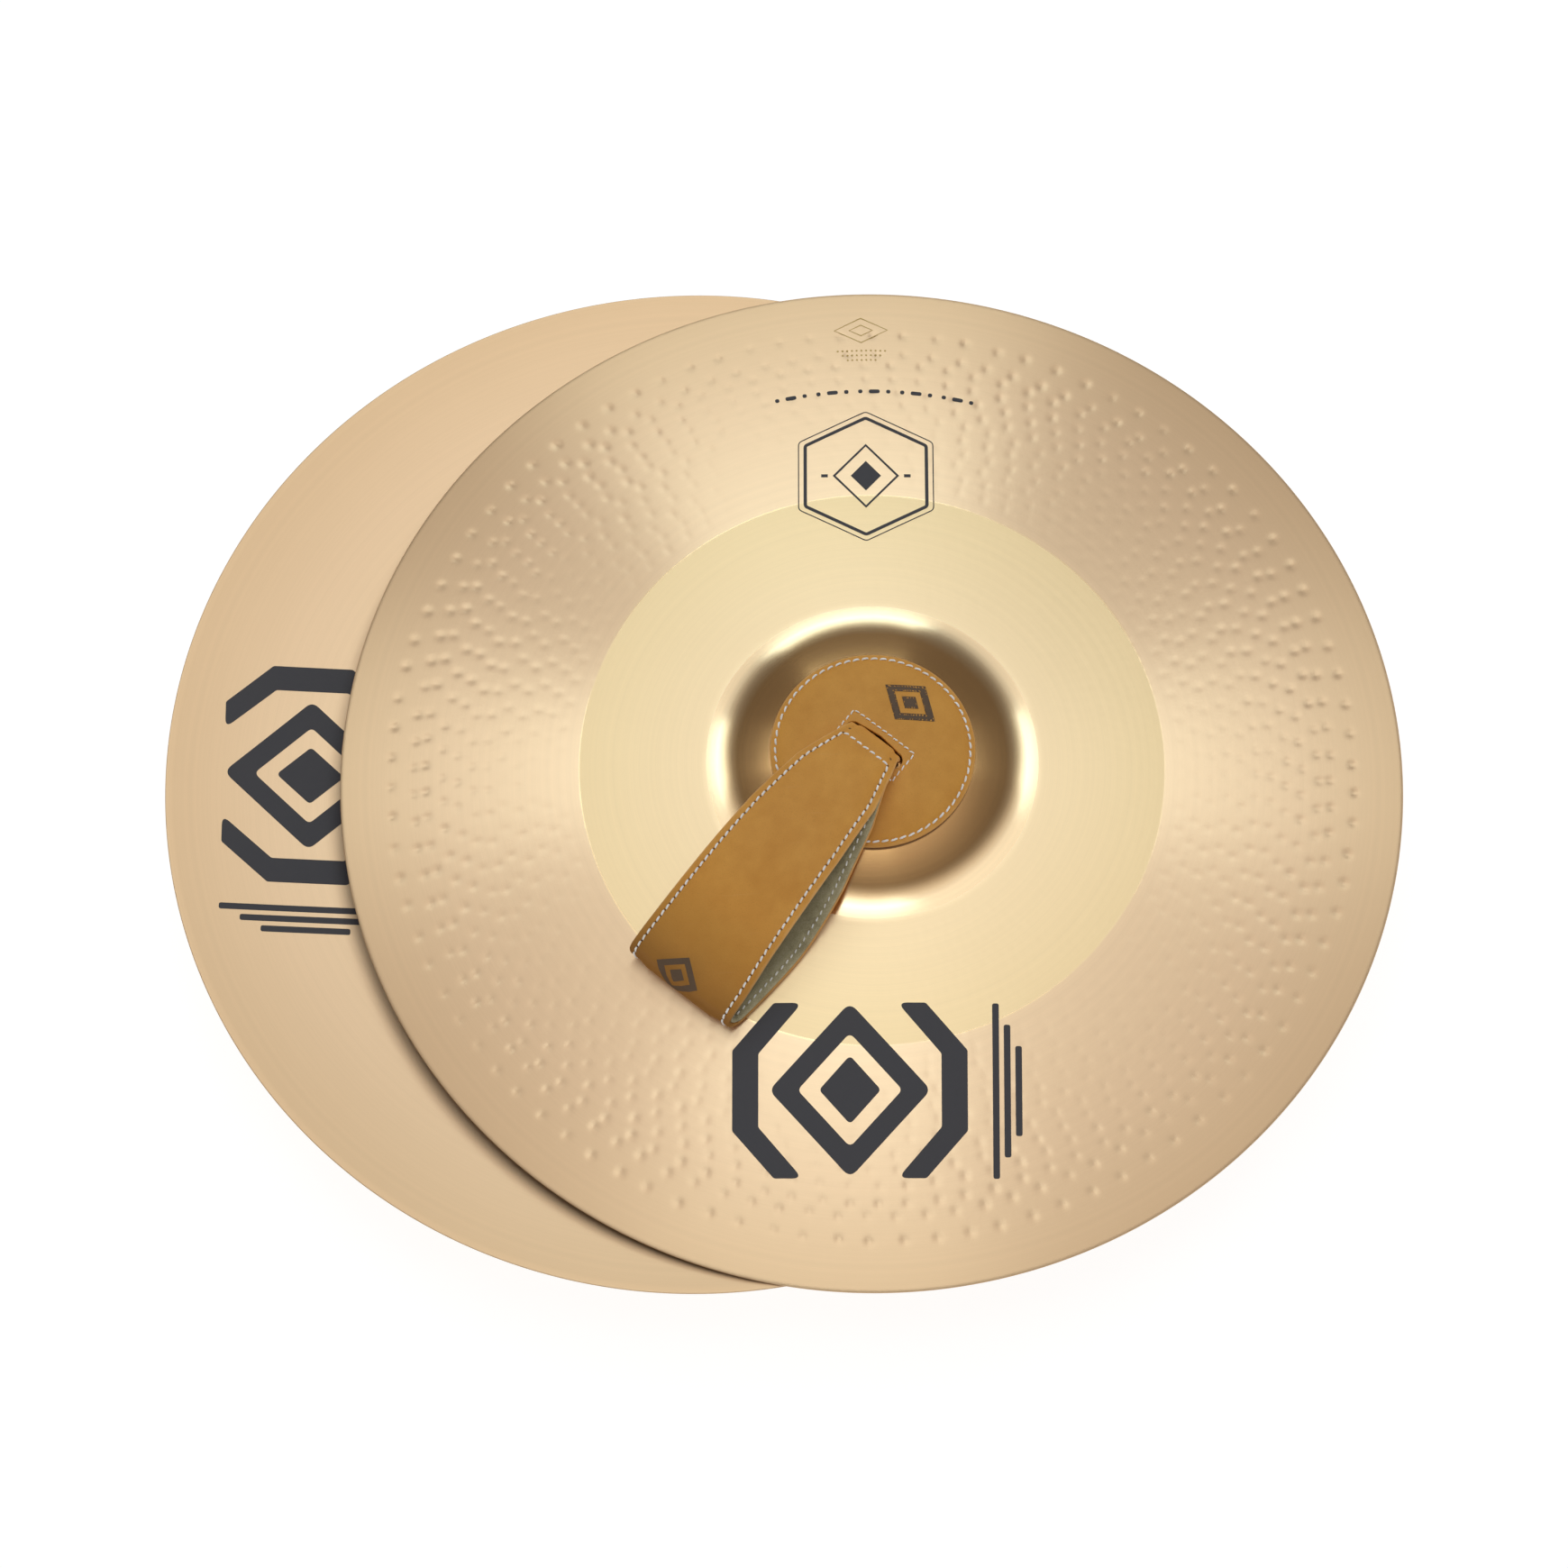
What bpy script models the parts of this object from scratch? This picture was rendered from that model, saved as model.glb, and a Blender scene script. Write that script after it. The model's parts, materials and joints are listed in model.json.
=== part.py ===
"""A pair of marching hand cymbals lying closed: the rear cymbal stands bell down on its own
hand strap, the front cymbal lies bell up on the rear one's rim, pushed sideways. Metres, +Z up,
+X to the side the front cymbal is pushed to, origin on the floor midway between the two."""

import math

import bmesh
import bpy
from mathutils import Matrix, Vector

MM = 0.001

# Cymbal, measured bell up from the plane of its rim
RIM_R = 228.6
HOLE_R = 6.5
BELL_R = 66.0
BELL_SPHERE_R = 145.0
BELL_APEX = 36.0
FILLET_FROM, FILLET_TO = 58.0, 73.0
BOW_RISE = 21.0
BOW_POWER = 1.25
THICK_BELL, THICK_EDGE = 1.4, 0.9
CYMBAL_STEPS = 60
CYMBAL_RADII = (HOLE_R, 20.0, 36.0, 50.0, 58.0, 63.0, 68.0, 73.0, 86.0, 110.0, 145.0, 186.0, 223.0)

# Pad: three layers on the bell
GAP = 0.3
PAD_R = 43.7
PAD_BASE_T, PAD_FELT_T, PAD_TOP_T = 1.0, 1.2, 1.8
PAD_STEPS = 40
PAD_EDGE_ROUND = 0.5
SLOT_LONG = 32.0
SLOT_WIDE = 6.6
FELT_SLOT_EXTRA, BASE_SLOT_EXTRA = 2.0, 3.4
SLOT_ROUND = 0.42
PAD_SEAM_INSET = 2.3
SLOT_SEAM_HALF_X = 8.0
SLOT_SEAM_OVER = 1.8

# Hand strap
LEATHER_T = 2.2
LINING_T = 1.8
ROOT_LIFT = 3.35
SEAM_INSET = 3.2
LINING_INSET = 0.5
SEAM_START = {"front": 10.5, "rear": 16.0}
CROSS_SEAM_REACH = 0.54
LINING_START = {"front": 26.0, "rear": 8.0}
BOBBIN_START = {"front": 35.0, "rear": 16.0}
FOLD_R = 6.8
THREAD_R = 0.3
BAND_ROWS = 50
BEND_WEIGHT = 11.0
BAND_COLUMNS = (-1.0, -0.76, -0.58, 0.58, 0.76, 1.0)
EDGE_CURL = 1.0
WIDTHS = ((0.0, 28.0), (0.06, 33.0), (0.19, 42.0), (0.39, 47.0), (0.58, 49.7), (0.76, 51.7), (0.9, 53.6),
          (1.0, 54.0))
FREE_TOP = ((20.0, 51.0), (45.0, 53.4), (70.0, 51.2), (98.0, 43.6), (117.0, 35.4))
FREE_FOLD_AT = 124.7
FREE_FOLD_TURNS = (60, 30, 0, -30, -60, -86)
FREE_REST = (112.0, 100.0, 88.0)
FREE_BACK = ((73.0, 27.8), (58.0, 33.6), (43.7, 39.3), (25.0, 43.0))
SQUASHED_HALF = 52.0
SQUASHED_HEIGHT = 20.4
SQUASHED_ROOT = 1.6
SQUASHED_RISE = 1.9
RUN_SPACING = 0.5

# Strap ends in the slot: half-widths and the height above the hole's rim, from the neck down
TAIL_IN_SLOT = (2.35, 13.0)
TAIL_IN_PAD = (3.3, 8.6)
TAIL_OVER_HOLE = (4.2, 4.9)
TAIL_IN_HOLE = (4.2, 4.4)
TAIL_CORNERS = 16
TAIL_SQUARENESS = 0.55

# Knot inside the bell
KNOT_HALF = 10.5
KNOT_DEEP = 9.0
KNOT_EDGE = 2.4
THONG_WIDE = 9.0
THONG_T = 2.2
THONG_END_R = 42.0
THONG_TAPER = 0.25
FOLD_OVERHANG = 1.6
FOLD_TILT = math.radians(9.0)
FOLD_EDGE = 0.8
END_COLUMNS = 8
END_SETTLES_BY = 1.6

# Placing
PUSH = 37.7
STRAP_HEADING = math.radians(231.3)
KNOT_TURN = {"front": math.radians(20.0), "rear": math.radians(52.0)}
KNOT_DROOP = {"front": 5.0, "rear": 0.0}


def cap(r):
    return BELL_APEX - BELL_SPHERE_R + math.sqrt(BELL_SPHERE_R**2 - r * r)


def bow(r):
    s = max(0.0, (r - BELL_R) / (RIM_R - BELL_R))
    return BOW_RISE * (1.0 - s**BOW_POWER)


def inner_z(r):
    """Height of the cymbal's hollow face over its rim plane."""
    if r <= FILLET_FROM:
        return cap(r)
    if r >= FILLET_TO:
        return bow(r)
    step = 0.01
    wide = FILLET_TO - FILLET_FROM
    t = (r - FILLET_FROM) / wide
    z0, z1 = cap(FILLET_FROM), bow(FILLET_TO)
    m0 = (z0 - cap(FILLET_FROM - step)) / step * wide
    m1 = (bow(FILLET_TO + step) - z1) / step * wide
    return ((2 * t**3 - 3 * t**2 + 1) * z0 + (t**3 - 2 * t**2 + t) * m0
            + (3 * t**2 - 2 * t**3) * z1 + (t**3 - t**2) * m1)


def outer_z(r):
    """Height of the cymbal's hammered face."""
    return inner_z(r) + THICK_BELL + (THICK_EDGE - THICK_BELL) * r / RIM_R


PAD_BOTTOM = outer_z(0.0) + GAP
PAD_TOP = PAD_BOTTOM + PAD_BASE_T + GAP + PAD_FELT_T + GAP + PAD_TOP_T
HINGE_Z = PAD_TOP + ROOT_LIFT
REAR_Z = PAD_TOP + SQUASHED_HEIGHT
FRONT_Z = REAR_Z + GAP


def frame_at(name, matrix):
    """An empty that carries one body, standing on that body's joint axis."""
    empty = bpy.data.objects.new(name, None)
    bpy.context.scene.collection.objects.link(empty)
    empty.matrix_world = matrix
    return empty


def placing(side, turn=0.0, lift=0.0):
    """Where a cymbal's own frame (bell up, rim plane at zero) stands."""
    if side == "front":
        at = Matrix.Translation((PUSH * MM, 0.0, FRONT_Z * MM))
    else:
        at = Matrix.Translation((-PUSH * MM, 0.0, REAR_Z * MM)) @ Matrix.Rotation(math.pi, 4, "X")
    return at @ Matrix.Rotation(turn, 4, "Z") @ Matrix.Translation((0.0, 0.0, lift * MM))


def material(name, colour, metallic=0.0, roughness=0.5):
    made = bpy.data.materials.new(name)
    made.use_nodes = True
    shader = made.node_tree.nodes["Principled BSDF"]
    shader.inputs["Base Color"].default_value = (*colour, 1.0)
    shader.inputs["Metallic"].default_value = metallic
    shader.inputs["Roughness"].default_value = roughness
    return made


def add_object(name, data, parent, surface):
    made = bpy.data.objects.new(name, data)
    parts.objects.link(made)
    made.parent = parent
    data.materials.append(surface)
    return made


def turned(name, profile, closed, steps, parent, surface):
    """A body turned about the cymbal's axis from a profile of (radius, height)."""
    mesh = bpy.data.meshes.new(name)
    edges = [(i, i + 1) for i in range(len(profile) - 1)]
    if closed:
        edges.append((len(profile) - 1, 0))
    mesh.from_pydata([(r * MM, 0.0, z * MM) for r, z in profile], edges, [])
    made = add_object(name, mesh, parent, surface)
    screw = made.modifiers.new("turn", "SCREW")
    screw.axis = "Z"
    screw.angle = 2 * math.pi
    screw.steps = screw.render_steps = steps
    screw.use_merge_vertices = True
    screw.merge_threshold = 0.00001
    return made


def cymbal(side, parent):
    radii = [*CYMBAL_RADII, RIM_R]
    outer = [(r, outer_z(r)) for r in radii]
    inner = [(r, inner_z(r)) for r in reversed(radii)]
    turned(f"{side}_cymbal", outer + inner, True, CYMBAL_STEPS, parent, bronze)


def slot_cutter(name, wide, low, high, parent):
    """A slot with rounded ends, long across the strap's heading."""
    mesh = bpy.data.meshes.new(name)
    bm = bmesh.new()
    bmesh.ops.create_cube(bm, size=1.0)
    bmesh.ops.scale(bm, vec=(wide * MM, SLOT_LONG * MM, (high - low) * MM), verts=bm.verts)
    bmesh.ops.translate(bm, vec=(0.0, 0.0, (high + low) / 2 * MM), verts=bm.verts)
    upright = [e for e in bm.edges if abs(e.verts[0].co.z - e.verts[1].co.z) > MM]
    bmesh.ops.bevel(bm, geom=upright, offset=wide * SLOT_ROUND * MM, segments=4, affect="EDGES", profile=0.5)
    bm.to_mesh(mesh)
    bm.free()
    made = bpy.data.objects.new(name, mesh)
    cutters.objects.link(made)
    made.parent = parent
    made.hide_render = True
    made.display_type = "WIRE"
    return made


def pad_layer(name, low, thick, side_in, slot_wide, parent, surface):
    """One round of the pad, domed like the bell under it, with its strap slot."""
    rim = PAD_R - side_in
    sag = [(r, cap(r) - BELL_APEX) for r in (0.0, 15.0, 30.0, rim)]
    top = [(r, low + thick + drop) for r, drop in sag[:-1]]
    shoulder = [(rim - PAD_EDGE_ROUND, low + thick + sag[-1][1] + PAD_EDGE_ROUND * 0.2),
                (rim, low + thick + sag[-1][1] - PAD_EDGE_ROUND)]
    bottom = [(r, low + drop) for r, drop in reversed(sag)]
    made = turned(name, top + shoulder + bottom, False, PAD_STEPS, parent, surface)
    cut = made.modifiers.new("slot", "BOOLEAN")
    cut.operation = "DIFFERENCE"
    cut.solver = "EXACT"
    cut.object = slot_cutter(f"{name}_slot", slot_wide, low - 3.0, low + thick + 3.0, parent)
    return made


def tube(name, points, closed, radius, parent, surface):
    """A thread laid along points given in millimetres."""
    curve = bpy.data.curves.new(name, "CURVE")
    curve.dimensions = "3D"
    curve.bevel_depth = radius * MM
    curve.bevel_resolution = 0
    curve.resolution_u = curve.render_resolution_u = 1
    curve.use_fill_caps = True
    run = curve.splines.new("POLY")
    run.points.add(len(points) - 1)
    for at, p in zip(run.points, points):
        at.co = (p[0] * MM, p[1] * MM, p[2] * MM, 1.0)
    run.use_cyclic_u = closed
    return add_object(name, curve, parent, surface)


def pad(side, parent):
    base = PAD_BOTTOM
    felt_low = base + PAD_BASE_T + GAP
    top_low = felt_low + PAD_FELT_T + GAP
    pad_layer(f"{side}_pad_base_leather", base, PAD_BASE_T, 0.2, SLOT_WIDE + BASE_SLOT_EXTRA, parent,
              tan_leather)
    pad_layer(f"{side}_pad_felt", felt_low, PAD_FELT_T, 0.5, SLOT_WIDE + FELT_SLOT_EXTRA, parent, grey_felt)
    pad_layer(f"{side}_pad_top_leather", top_low, PAD_TOP_T, 0.0, SLOT_WIDE, parent, tan_leather)
    seam_r = PAD_R - PAD_SEAM_INSET
    lie = PAD_TOP + cap(seam_r) - BELL_APEX + GAP + THREAD_R
    ring = [(seam_r * math.cos(a), seam_r * math.sin(a), lie)
            for a in (2 * math.pi * i / PAD_STEPS for i in range(PAD_STEPS))]
    tube(f"{side}_pad_edge_thread", ring, True, THREAD_R, parent, white_thread)


def slot_thread(side, parent):
    """The stitched rectangle round the pad's slot."""
    half_x, half_y = SLOT_SEAM_HALF_X, SLOT_LONG / 2 + SLOT_SEAM_OVER
    points = []
    for x0, y0, x1, y1 in ((half_x, -half_y, half_x, half_y), (half_x, half_y, -half_x, half_y),
                           (-half_x, half_y, -half_x, -half_y), (-half_x, -half_y, half_x, -half_y)):
        for i in range(4):
            x, y = x0 + (x1 - x0) * i / 4, y0 + (y1 - y0) * i / 4
            lie = PAD_TOP + cap(math.hypot(x, y)) - BELL_APEX + GAP + THREAD_R
            points.append((x, y, lie))
    tube(f"{side}_pad_slot_thread", points, True, THREAD_R, parent, white_thread)


def smooth_run(controls):
    """A smooth line through control points, as points an even distance apart."""
    ends = [controls[0], *controls, controls[-1]]
    dense = []
    for p0, p1, p2, p3 in zip(ends, ends[1:], ends[2:], ends[3:]):
        a, b, c, d = (Vector(p) for p in (p0, p1, p2, p3))
        for i in range(24):
            t = i / 24
            dense.append(0.5 * ((2 * b) + (c - a) * t + (2 * a - 5 * b + 4 * c - d) * t * t
                                + (3 * b - a - 3 * c + d) * t**3))
    dense.append(Vector(controls[-1]))
    length = sum((q - p).length for p, q in zip(dense, dense[1:]))
    return evenly(dense, round(length / RUN_SPACING))


def evenly(line, count):
    """The same line as count + 1 points an even distance apart."""
    lengths = [0.0]
    for p, q in zip(line, line[1:]):
        lengths.append(lengths[-1] + (q - p).length)
    found, at = [], 0
    for k in range(count + 1):
        want = lengths[-1] * k / count
        while at < len(line) - 2 and lengths[at + 1] < want:
            at += 1
        span = lengths[at + 1] - lengths[at] or 1.0
        found.append(line[at].lerp(line[at + 1], (want - lengths[at]) / span))
    return found


def offset_line(line, distance):
    """The line moved to its left-hand side, which is the inside of the loop."""
    moved = []
    for i, p in enumerate(line):
        along = line[min(i + 1, len(line) - 1)] - line[max(i - 1, 0)]
        left = Vector((along.y, -along.x)).normalized()
        moved.append(p + left * distance)
    return moved


def width_at(share):
    """Strap width, by the share of the way from the slot to the middle of the loop."""
    share = min(share, 1.0)
    for (s0, w0), (s1, w1) in zip(WIDTHS, WIDTHS[1:]):
        if share <= s1:
            return w0 + (w1 - w0) * (share - s0) / (s1 - s0)
    return WIDTHS[-1][1]


def loop_share(index, count):
    return 1.0 - abs(2.0 * index / count - 1.0)


def loop_rows(line, trim):
    """Places along the loop for its cross rows, closer where it bends, short of both ends by trim."""
    steps = [q - p for p, q in zip(line, line[1:])]
    effort = [0.0]
    for before, after in zip([steps[0], *steps], steps):
        bend = before.angle(after, 0.0)
        effort.append(effort[-1] + after.length + BEND_WEIGHT * bend)
    rows, at = [], 0
    for k in range(BAND_ROWS + 1):
        want = effort[-1] * k / BAND_ROWS
        while at < len(line) - 2 and effort[at + 1] < want:
            at += 1
        rows.append(at + (want - effort[at]) / (effort[at + 1] - effort[at]))
    per_point = sum(step.length for step in steps) / len(steps)
    first, last = trim / per_point, len(line) - 1 - trim / per_point
    return [row for row in rows if first <= row <= last]


def point_at(line, row):
    low = min(int(row), len(line) - 2)
    return line[low].lerp(line[low + 1], row - low)


def band(name, line, offset, trim, inset, thick, parent, surface):
    """A strip of leather along the loop, at offset inside it, left short of both ends by trim."""
    rows = loop_rows(line, trim)
    crown, edge = offset_line(line, offset), offset_line(line, offset + EDGE_CURL)
    last = len(BAND_COLUMNS) - 1
    mesh = bpy.data.meshes.new(name)
    bm = bmesh.new()
    bmesh.ops.create_grid(bm, x_segments=len(rows) - 1, y_segments=last, size=1.0)
    for v in bm.verts:
        row = rows[round((v.co.x + 1) / 2 * (len(rows) - 1))]
        across = BAND_COLUMNS[round((v.co.y + 1) / 2 * last)]
        p = point_at(crown if abs(across) < BAND_COLUMNS[-2] else edge, row)
        half = width_at(loop_share(row, len(line) - 1)) / 2 - inset
        v.co = (p.x * MM, across * half * MM, p.y * MM)
    bmesh.ops.recalc_face_normals(bm, faces=bm.faces)
    bm.to_mesh(mesh)
    bm.free()
    made = add_object(name, mesh, parent, surface)
    skin = made.modifiers.new("thick", "SOLIDIFY")
    skin.thickness = thick * MM
    skin.offset = 0.0
    return made


def strap_thread(name, line, offset, start, parent):
    """The seam round both edges and across both ends of the lined part."""
    crown, sunk = offset_line(line, offset), offset_line(line, offset + EDGE_CURL)
    rows = loop_rows(line, start)
    run = []
    for row in rows:
        p = point_at(sunk, row)
        run.append((p.x, width_at(loop_share(row, len(line) - 1)) / 2 - SEAM_INSET, p.y))
    for end, row in ((0, rows[0]), (len(run) + 1, rows[-1])):
        p = point_at(crown, row)
        run.insert(end, (p.x, width_at(loop_share(row, len(line) - 1)) / 2 * CROSS_SEAM_REACH, p.y))
    points = run + [(x, -y, z) for x, y, z in reversed(run)]
    tube(name, points, True, THREAD_R, parent, white_thread)


def strap(side, line, parent):
    inside = LEATHER_T / 2 + GAP + LINING_T / 2
    thread_off = LEATHER_T / 2 + GAP + THREAD_R
    bobbin_off = LEATHER_T / 2 + GAP + LINING_T + 1.6 * GAP + THREAD_R
    band(f"{side}_strap_outer", line, 0.0, 0.0, 0.0, LEATHER_T, parent, tan_leather)
    band(f"{side}_strap_lining", line, inside, LINING_START[side], LINING_INSET, LINING_T, parent, suede)
    strap_thread(f"{side}_strap_top_thread", line, -thread_off, SEAM_START[side], parent)
    strap_thread(f"{side}_strap_bobbin_thread", line, bobbin_off, BOBBIN_START[side], parent)


def front_line():
    """The free strap's loop from the hinge: out over the top, the far fold, back under."""
    pair = LEATHER_T / 2 + GAP / 2
    rest = LEATHER_T / 2 + GAP + 0.1
    upper = [(0.0, HINGE_Z + pair), (6.0, HINGE_Z + pair + 0.4), *FREE_TOP]
    low = outer_z(FREE_FOLD_AT - 0.7) + rest
    fold = [(FREE_FOLD_AT + FOLD_R * math.cos(a), low + FOLD_R + FOLD_R * math.sin(a))
            for a in map(math.radians, FREE_FOLD_TURNS)]
    under = [(r, outer_z(r) + rest) for r in FREE_REST]
    back = [*FREE_BACK, (6.0, HINGE_Z - pair - 0.05), (0.0, HINGE_Z - pair)]
    controls = upper + fold + under + back
    return smooth_run([(x, z - HINGE_Z) for x, z in controls])


def rear_line():
    """The squashed strap's loop: out of the slot, flat on the pad, folded, flat on the floor."""
    near = PAD_TOP + LEATHER_T / 2 + 2 * GAP + 2 * THREAD_R + 0.1
    far = PAD_TOP + SQUASHED_HEIGHT - LEATHER_T / 2
    radius = (far - near) / 2
    start, rise = LEATHER_T / 2 + GAP / 2, SQUASHED_RISE
    out = [Vector((start, PAD_TOP - SQUASHED_ROOT)), Vector((start, near - rise))]
    for i in range(1, 5):
        a = math.pi / 2 * i / 4
        out.append(Vector((start + rise * (1 - math.cos(a)), near - rise + rise * math.sin(a))))
    for i in range(25):
        a = math.pi * i / 24 - math.pi / 2
        out.append(Vector((SQUASHED_HALF + radius * math.cos(a), near + radius + radius * math.sin(a))))
    half = evenly(out + [Vector((0.0, far))], 150)
    mirrored = [Vector((-p.x, p.y)) for p in reversed(half[:-1])]
    return [Vector((-p.x, p.y)) for p in half] + [Vector((-p.x, p.y)) for p in mirrored]


def ring_of(bm, half_x, half_y, z):
    """A rounded rectangle, for lofting."""
    verts = []
    for i in range(TAIL_CORNERS):
        a = 2 * math.pi * (i + 0.5) / TAIL_CORNERS
        c, s = math.cos(a), math.sin(a)
        x = half_x * math.copysign(abs(c) ** TAIL_SQUARENESS, c)
        y = half_y * math.copysign(abs(s) ** TAIL_SQUARENESS, s)
        verts.append(bm.verts.new(Vector((x, y, z)) * MM))
    return verts


def strap_tails(side, top, parent):
    """The strap's two ends pressed together in the slot, cut into thongs and drawn to the hole."""
    mesh = bpy.data.meshes.new(f"{side}_strap_tails")
    bm = bmesh.new()
    low = inner_z(HOLE_R) - 0.2
    levels = ((*TAIL_IN_SLOT, top), (*TAIL_IN_SLOT, PAD_TOP - PAD_TOP_T - 0.4),
              (*TAIL_IN_PAD, PAD_BOTTOM + PAD_BASE_T + 0.1), (*TAIL_OVER_HOLE, PAD_BOTTOM + 0.1),
              (*TAIL_IN_HOLE, low))
    rings = [ring_of(bm, *level) for level in levels]
    for upper, lower in zip(rings, rings[1:]):
        for i in range(TAIL_CORNERS):
            j = (i + 1) % TAIL_CORNERS
            bm.faces.new((upper[i], lower[i], lower[j], upper[j]))
    bm.faces.new(rings[0])
    bm.faces.new(list(reversed(rings[-1])))
    bmesh.ops.recalc_face_normals(bm, faces=bm.faces)
    bm.to_mesh(mesh)
    bm.free()
    add_object(f"{side}_strap_tails", mesh, parent, tan_leather)


def knot(side, parent):
    """The crown knot: four thongs, each folded over the next, with their free ends spread out."""
    top = inner_z(KNOT_HALF + 2.0) - GAP - 0.1
    name = f"{side}_knot"
    mesh = bpy.data.meshes.new(name)
    bm = bmesh.new()
    bmesh.ops.create_cube(bm, size=1.0)
    bmesh.ops.scale(bm, vec=Vector((2 * KNOT_HALF, 2 * KNOT_HALF, KNOT_DEEP - THONG_T)) * MM, verts=bm.verts)
    bmesh.ops.translate(bm, vec=Vector((0.0, 0.0, top - (KNOT_DEEP - THONG_T) / 2)) * MM, verts=bm.verts)
    bmesh.ops.bevel(bm, geom=list(bm.edges), offset=KNOT_EDGE * MM, segments=3, affect="EDGES", profile=0.5)
    bm.to_mesh(mesh)
    bm.free()
    made = add_object(name, mesh, parent, tan_leather)
    made.rotation_euler = (0.0, 0.0, KNOT_TURN[side])
    for i in range(4):
        turn = Matrix.Rotation(math.pi / 2 * i, 4, "Z")
        pieces = {"fold": knot_fold(f"{name}_fold{i}", top, made),
                  "end": thong_end(f"{name}_end{i}", top, KNOT_DROOP[side], made)}
        for kind, piece in pieces.items():
            piece.matrix_local = turn
            join = made.modifiers.new(f"{kind}{i}", "BOOLEAN")
            join.operation = "UNION"
            join.solver = "EXACT"
            join.object = piece


def union_piece(name, bm, parent):
    mesh = bpy.data.meshes.new(name)
    bmesh.ops.recalc_face_normals(bm, faces=bm.faces)
    bm.to_mesh(mesh)
    bm.free()
    made = bpy.data.objects.new(name, mesh)
    cutters.objects.link(made)
    made.parent = parent
    made.hide_render = True
    made.display_type = "WIRE"
    return made


def knot_fold(name, top, parent):
    """One quarter of the crown: a thong lying across its neighbour, one edge raised."""
    bm = bmesh.new()
    bmesh.ops.create_cube(bm, size=1.0)
    long_side = KNOT_HALF + FOLD_OVERHANG
    bmesh.ops.scale(bm, vec=Vector((long_side, THONG_WIDE, THONG_T + FOLD_EDGE)) * MM, verts=bm.verts)
    bmesh.ops.bevel(bm, geom=list(bm.edges), offset=FOLD_EDGE * MM, segments=2, affect="EDGES", profile=0.5)
    bmesh.ops.rotate(bm, matrix=Matrix.Rotation(FOLD_TILT, 3, "Y"), verts=bm.verts)
    at = Vector((long_side / 2 - 1.2, THONG_WIDE / 2 + 0.35, top - KNOT_DEEP + THONG_T * 0.9))
    bmesh.ops.translate(bm, vec=at * MM, verts=bm.verts)
    return union_piece(name, bm, parent)


def thong_end(name, top, droop, parent):
    """One free end, running out from the knot's side along the hollow of the bell."""
    bm = bmesh.new()
    bmesh.ops.create_grid(bm, x_segments=END_COLUMNS, y_segments=1, size=1.0)
    start = KNOT_HALF - 3.0
    wide = THONG_WIDE / 2 - FOLD_EDGE
    for v in bm.verts:
        share = (v.co.x + 1) / 2
        r = start + (THONG_END_R - start) * share
        reach = math.hypot(r, THONG_WIDE)
        settle = min(1.0, share * END_SETTLES_BY)
        lie = inner_z(reach) - GAP - THONG_T / 2 - 0.3 - droop * share
        leave = top - KNOT_DEEP / 2 + 0.4
        z = leave + (min(lie, leave + 3.0) - leave) * settle
        side_shift = -THONG_WIDE / 2 - 0.2
        v.co = Vector((r, side_shift + v.co.y * wide * (1.0 - THONG_TAPER * share), z)) * MM
    grown = bmesh.ops.extrude_face_region(bm, geom=bm.faces[:])
    lifted = [g for g in grown["geom"] if isinstance(g, bmesh.types.BMVert)]
    bmesh.ops.translate(bm, vec=(0.0, 0.0, THONG_T * MM), verts=lifted)
    bmesh.ops.translate(bm, vec=(0.0, 0.0, -THONG_T / 2 * MM), verts=bm.verts)
    return union_piece(name, bm, parent)


for old in list(bpy.data.objects):
    bpy.data.objects.remove(old)
parts = bpy.data.collections.new("hand_cymbals")
cutters = bpy.data.collections.new("cutters")
for collection in (parts, cutters):
    bpy.context.scene.collection.children.link(collection)

bronze = material("cymbal_bronze", (0.72, 0.50, 0.24), metallic=1.0, roughness=0.28)
tan_leather = material("tan_leather", (0.42, 0.20, 0.06), roughness=0.55)
suede = material("suede_lining", (0.20, 0.19, 0.11), roughness=0.9)
grey_felt = material("pad_felt", (0.55, 0.53, 0.48), roughness=0.95)
white_thread = material("white_thread", (0.85, 0.82, 0.74), roughness=0.6)

headings = {"front": STRAP_HEADING, "rear": 0.0}
for which in ("rear", "front"):
    plate = frame_at(f"{which}_plate_frame", placing(which))
    grip = frame_at(f"{which}_grip_frame", placing(which, headings[which]))
    cymbal(which, plate)
    pad(which, grip)
    slot_thread(which, grip)
    knot(which, grip)

strap_tails("front", HINGE_Z - LEATHER_T - GAP / 2 - GAP, bpy.data.objects["front_grip_frame"])
strap_tails("rear", PAD_TOP - 1.9, bpy.data.objects["rear_grip_frame"])
hinge = frame_at("front_strap_frame", placing("front", STRAP_HEADING, HINGE_Z))
strap("front", front_line(), hinge)
strap("rear", rear_line(), bpy.data.objects["rear_grip_frame"])
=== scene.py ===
import json
import math
import random

import bmesh
import bpy
import numpy as np
from mathutils import Matrix, Vector


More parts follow.
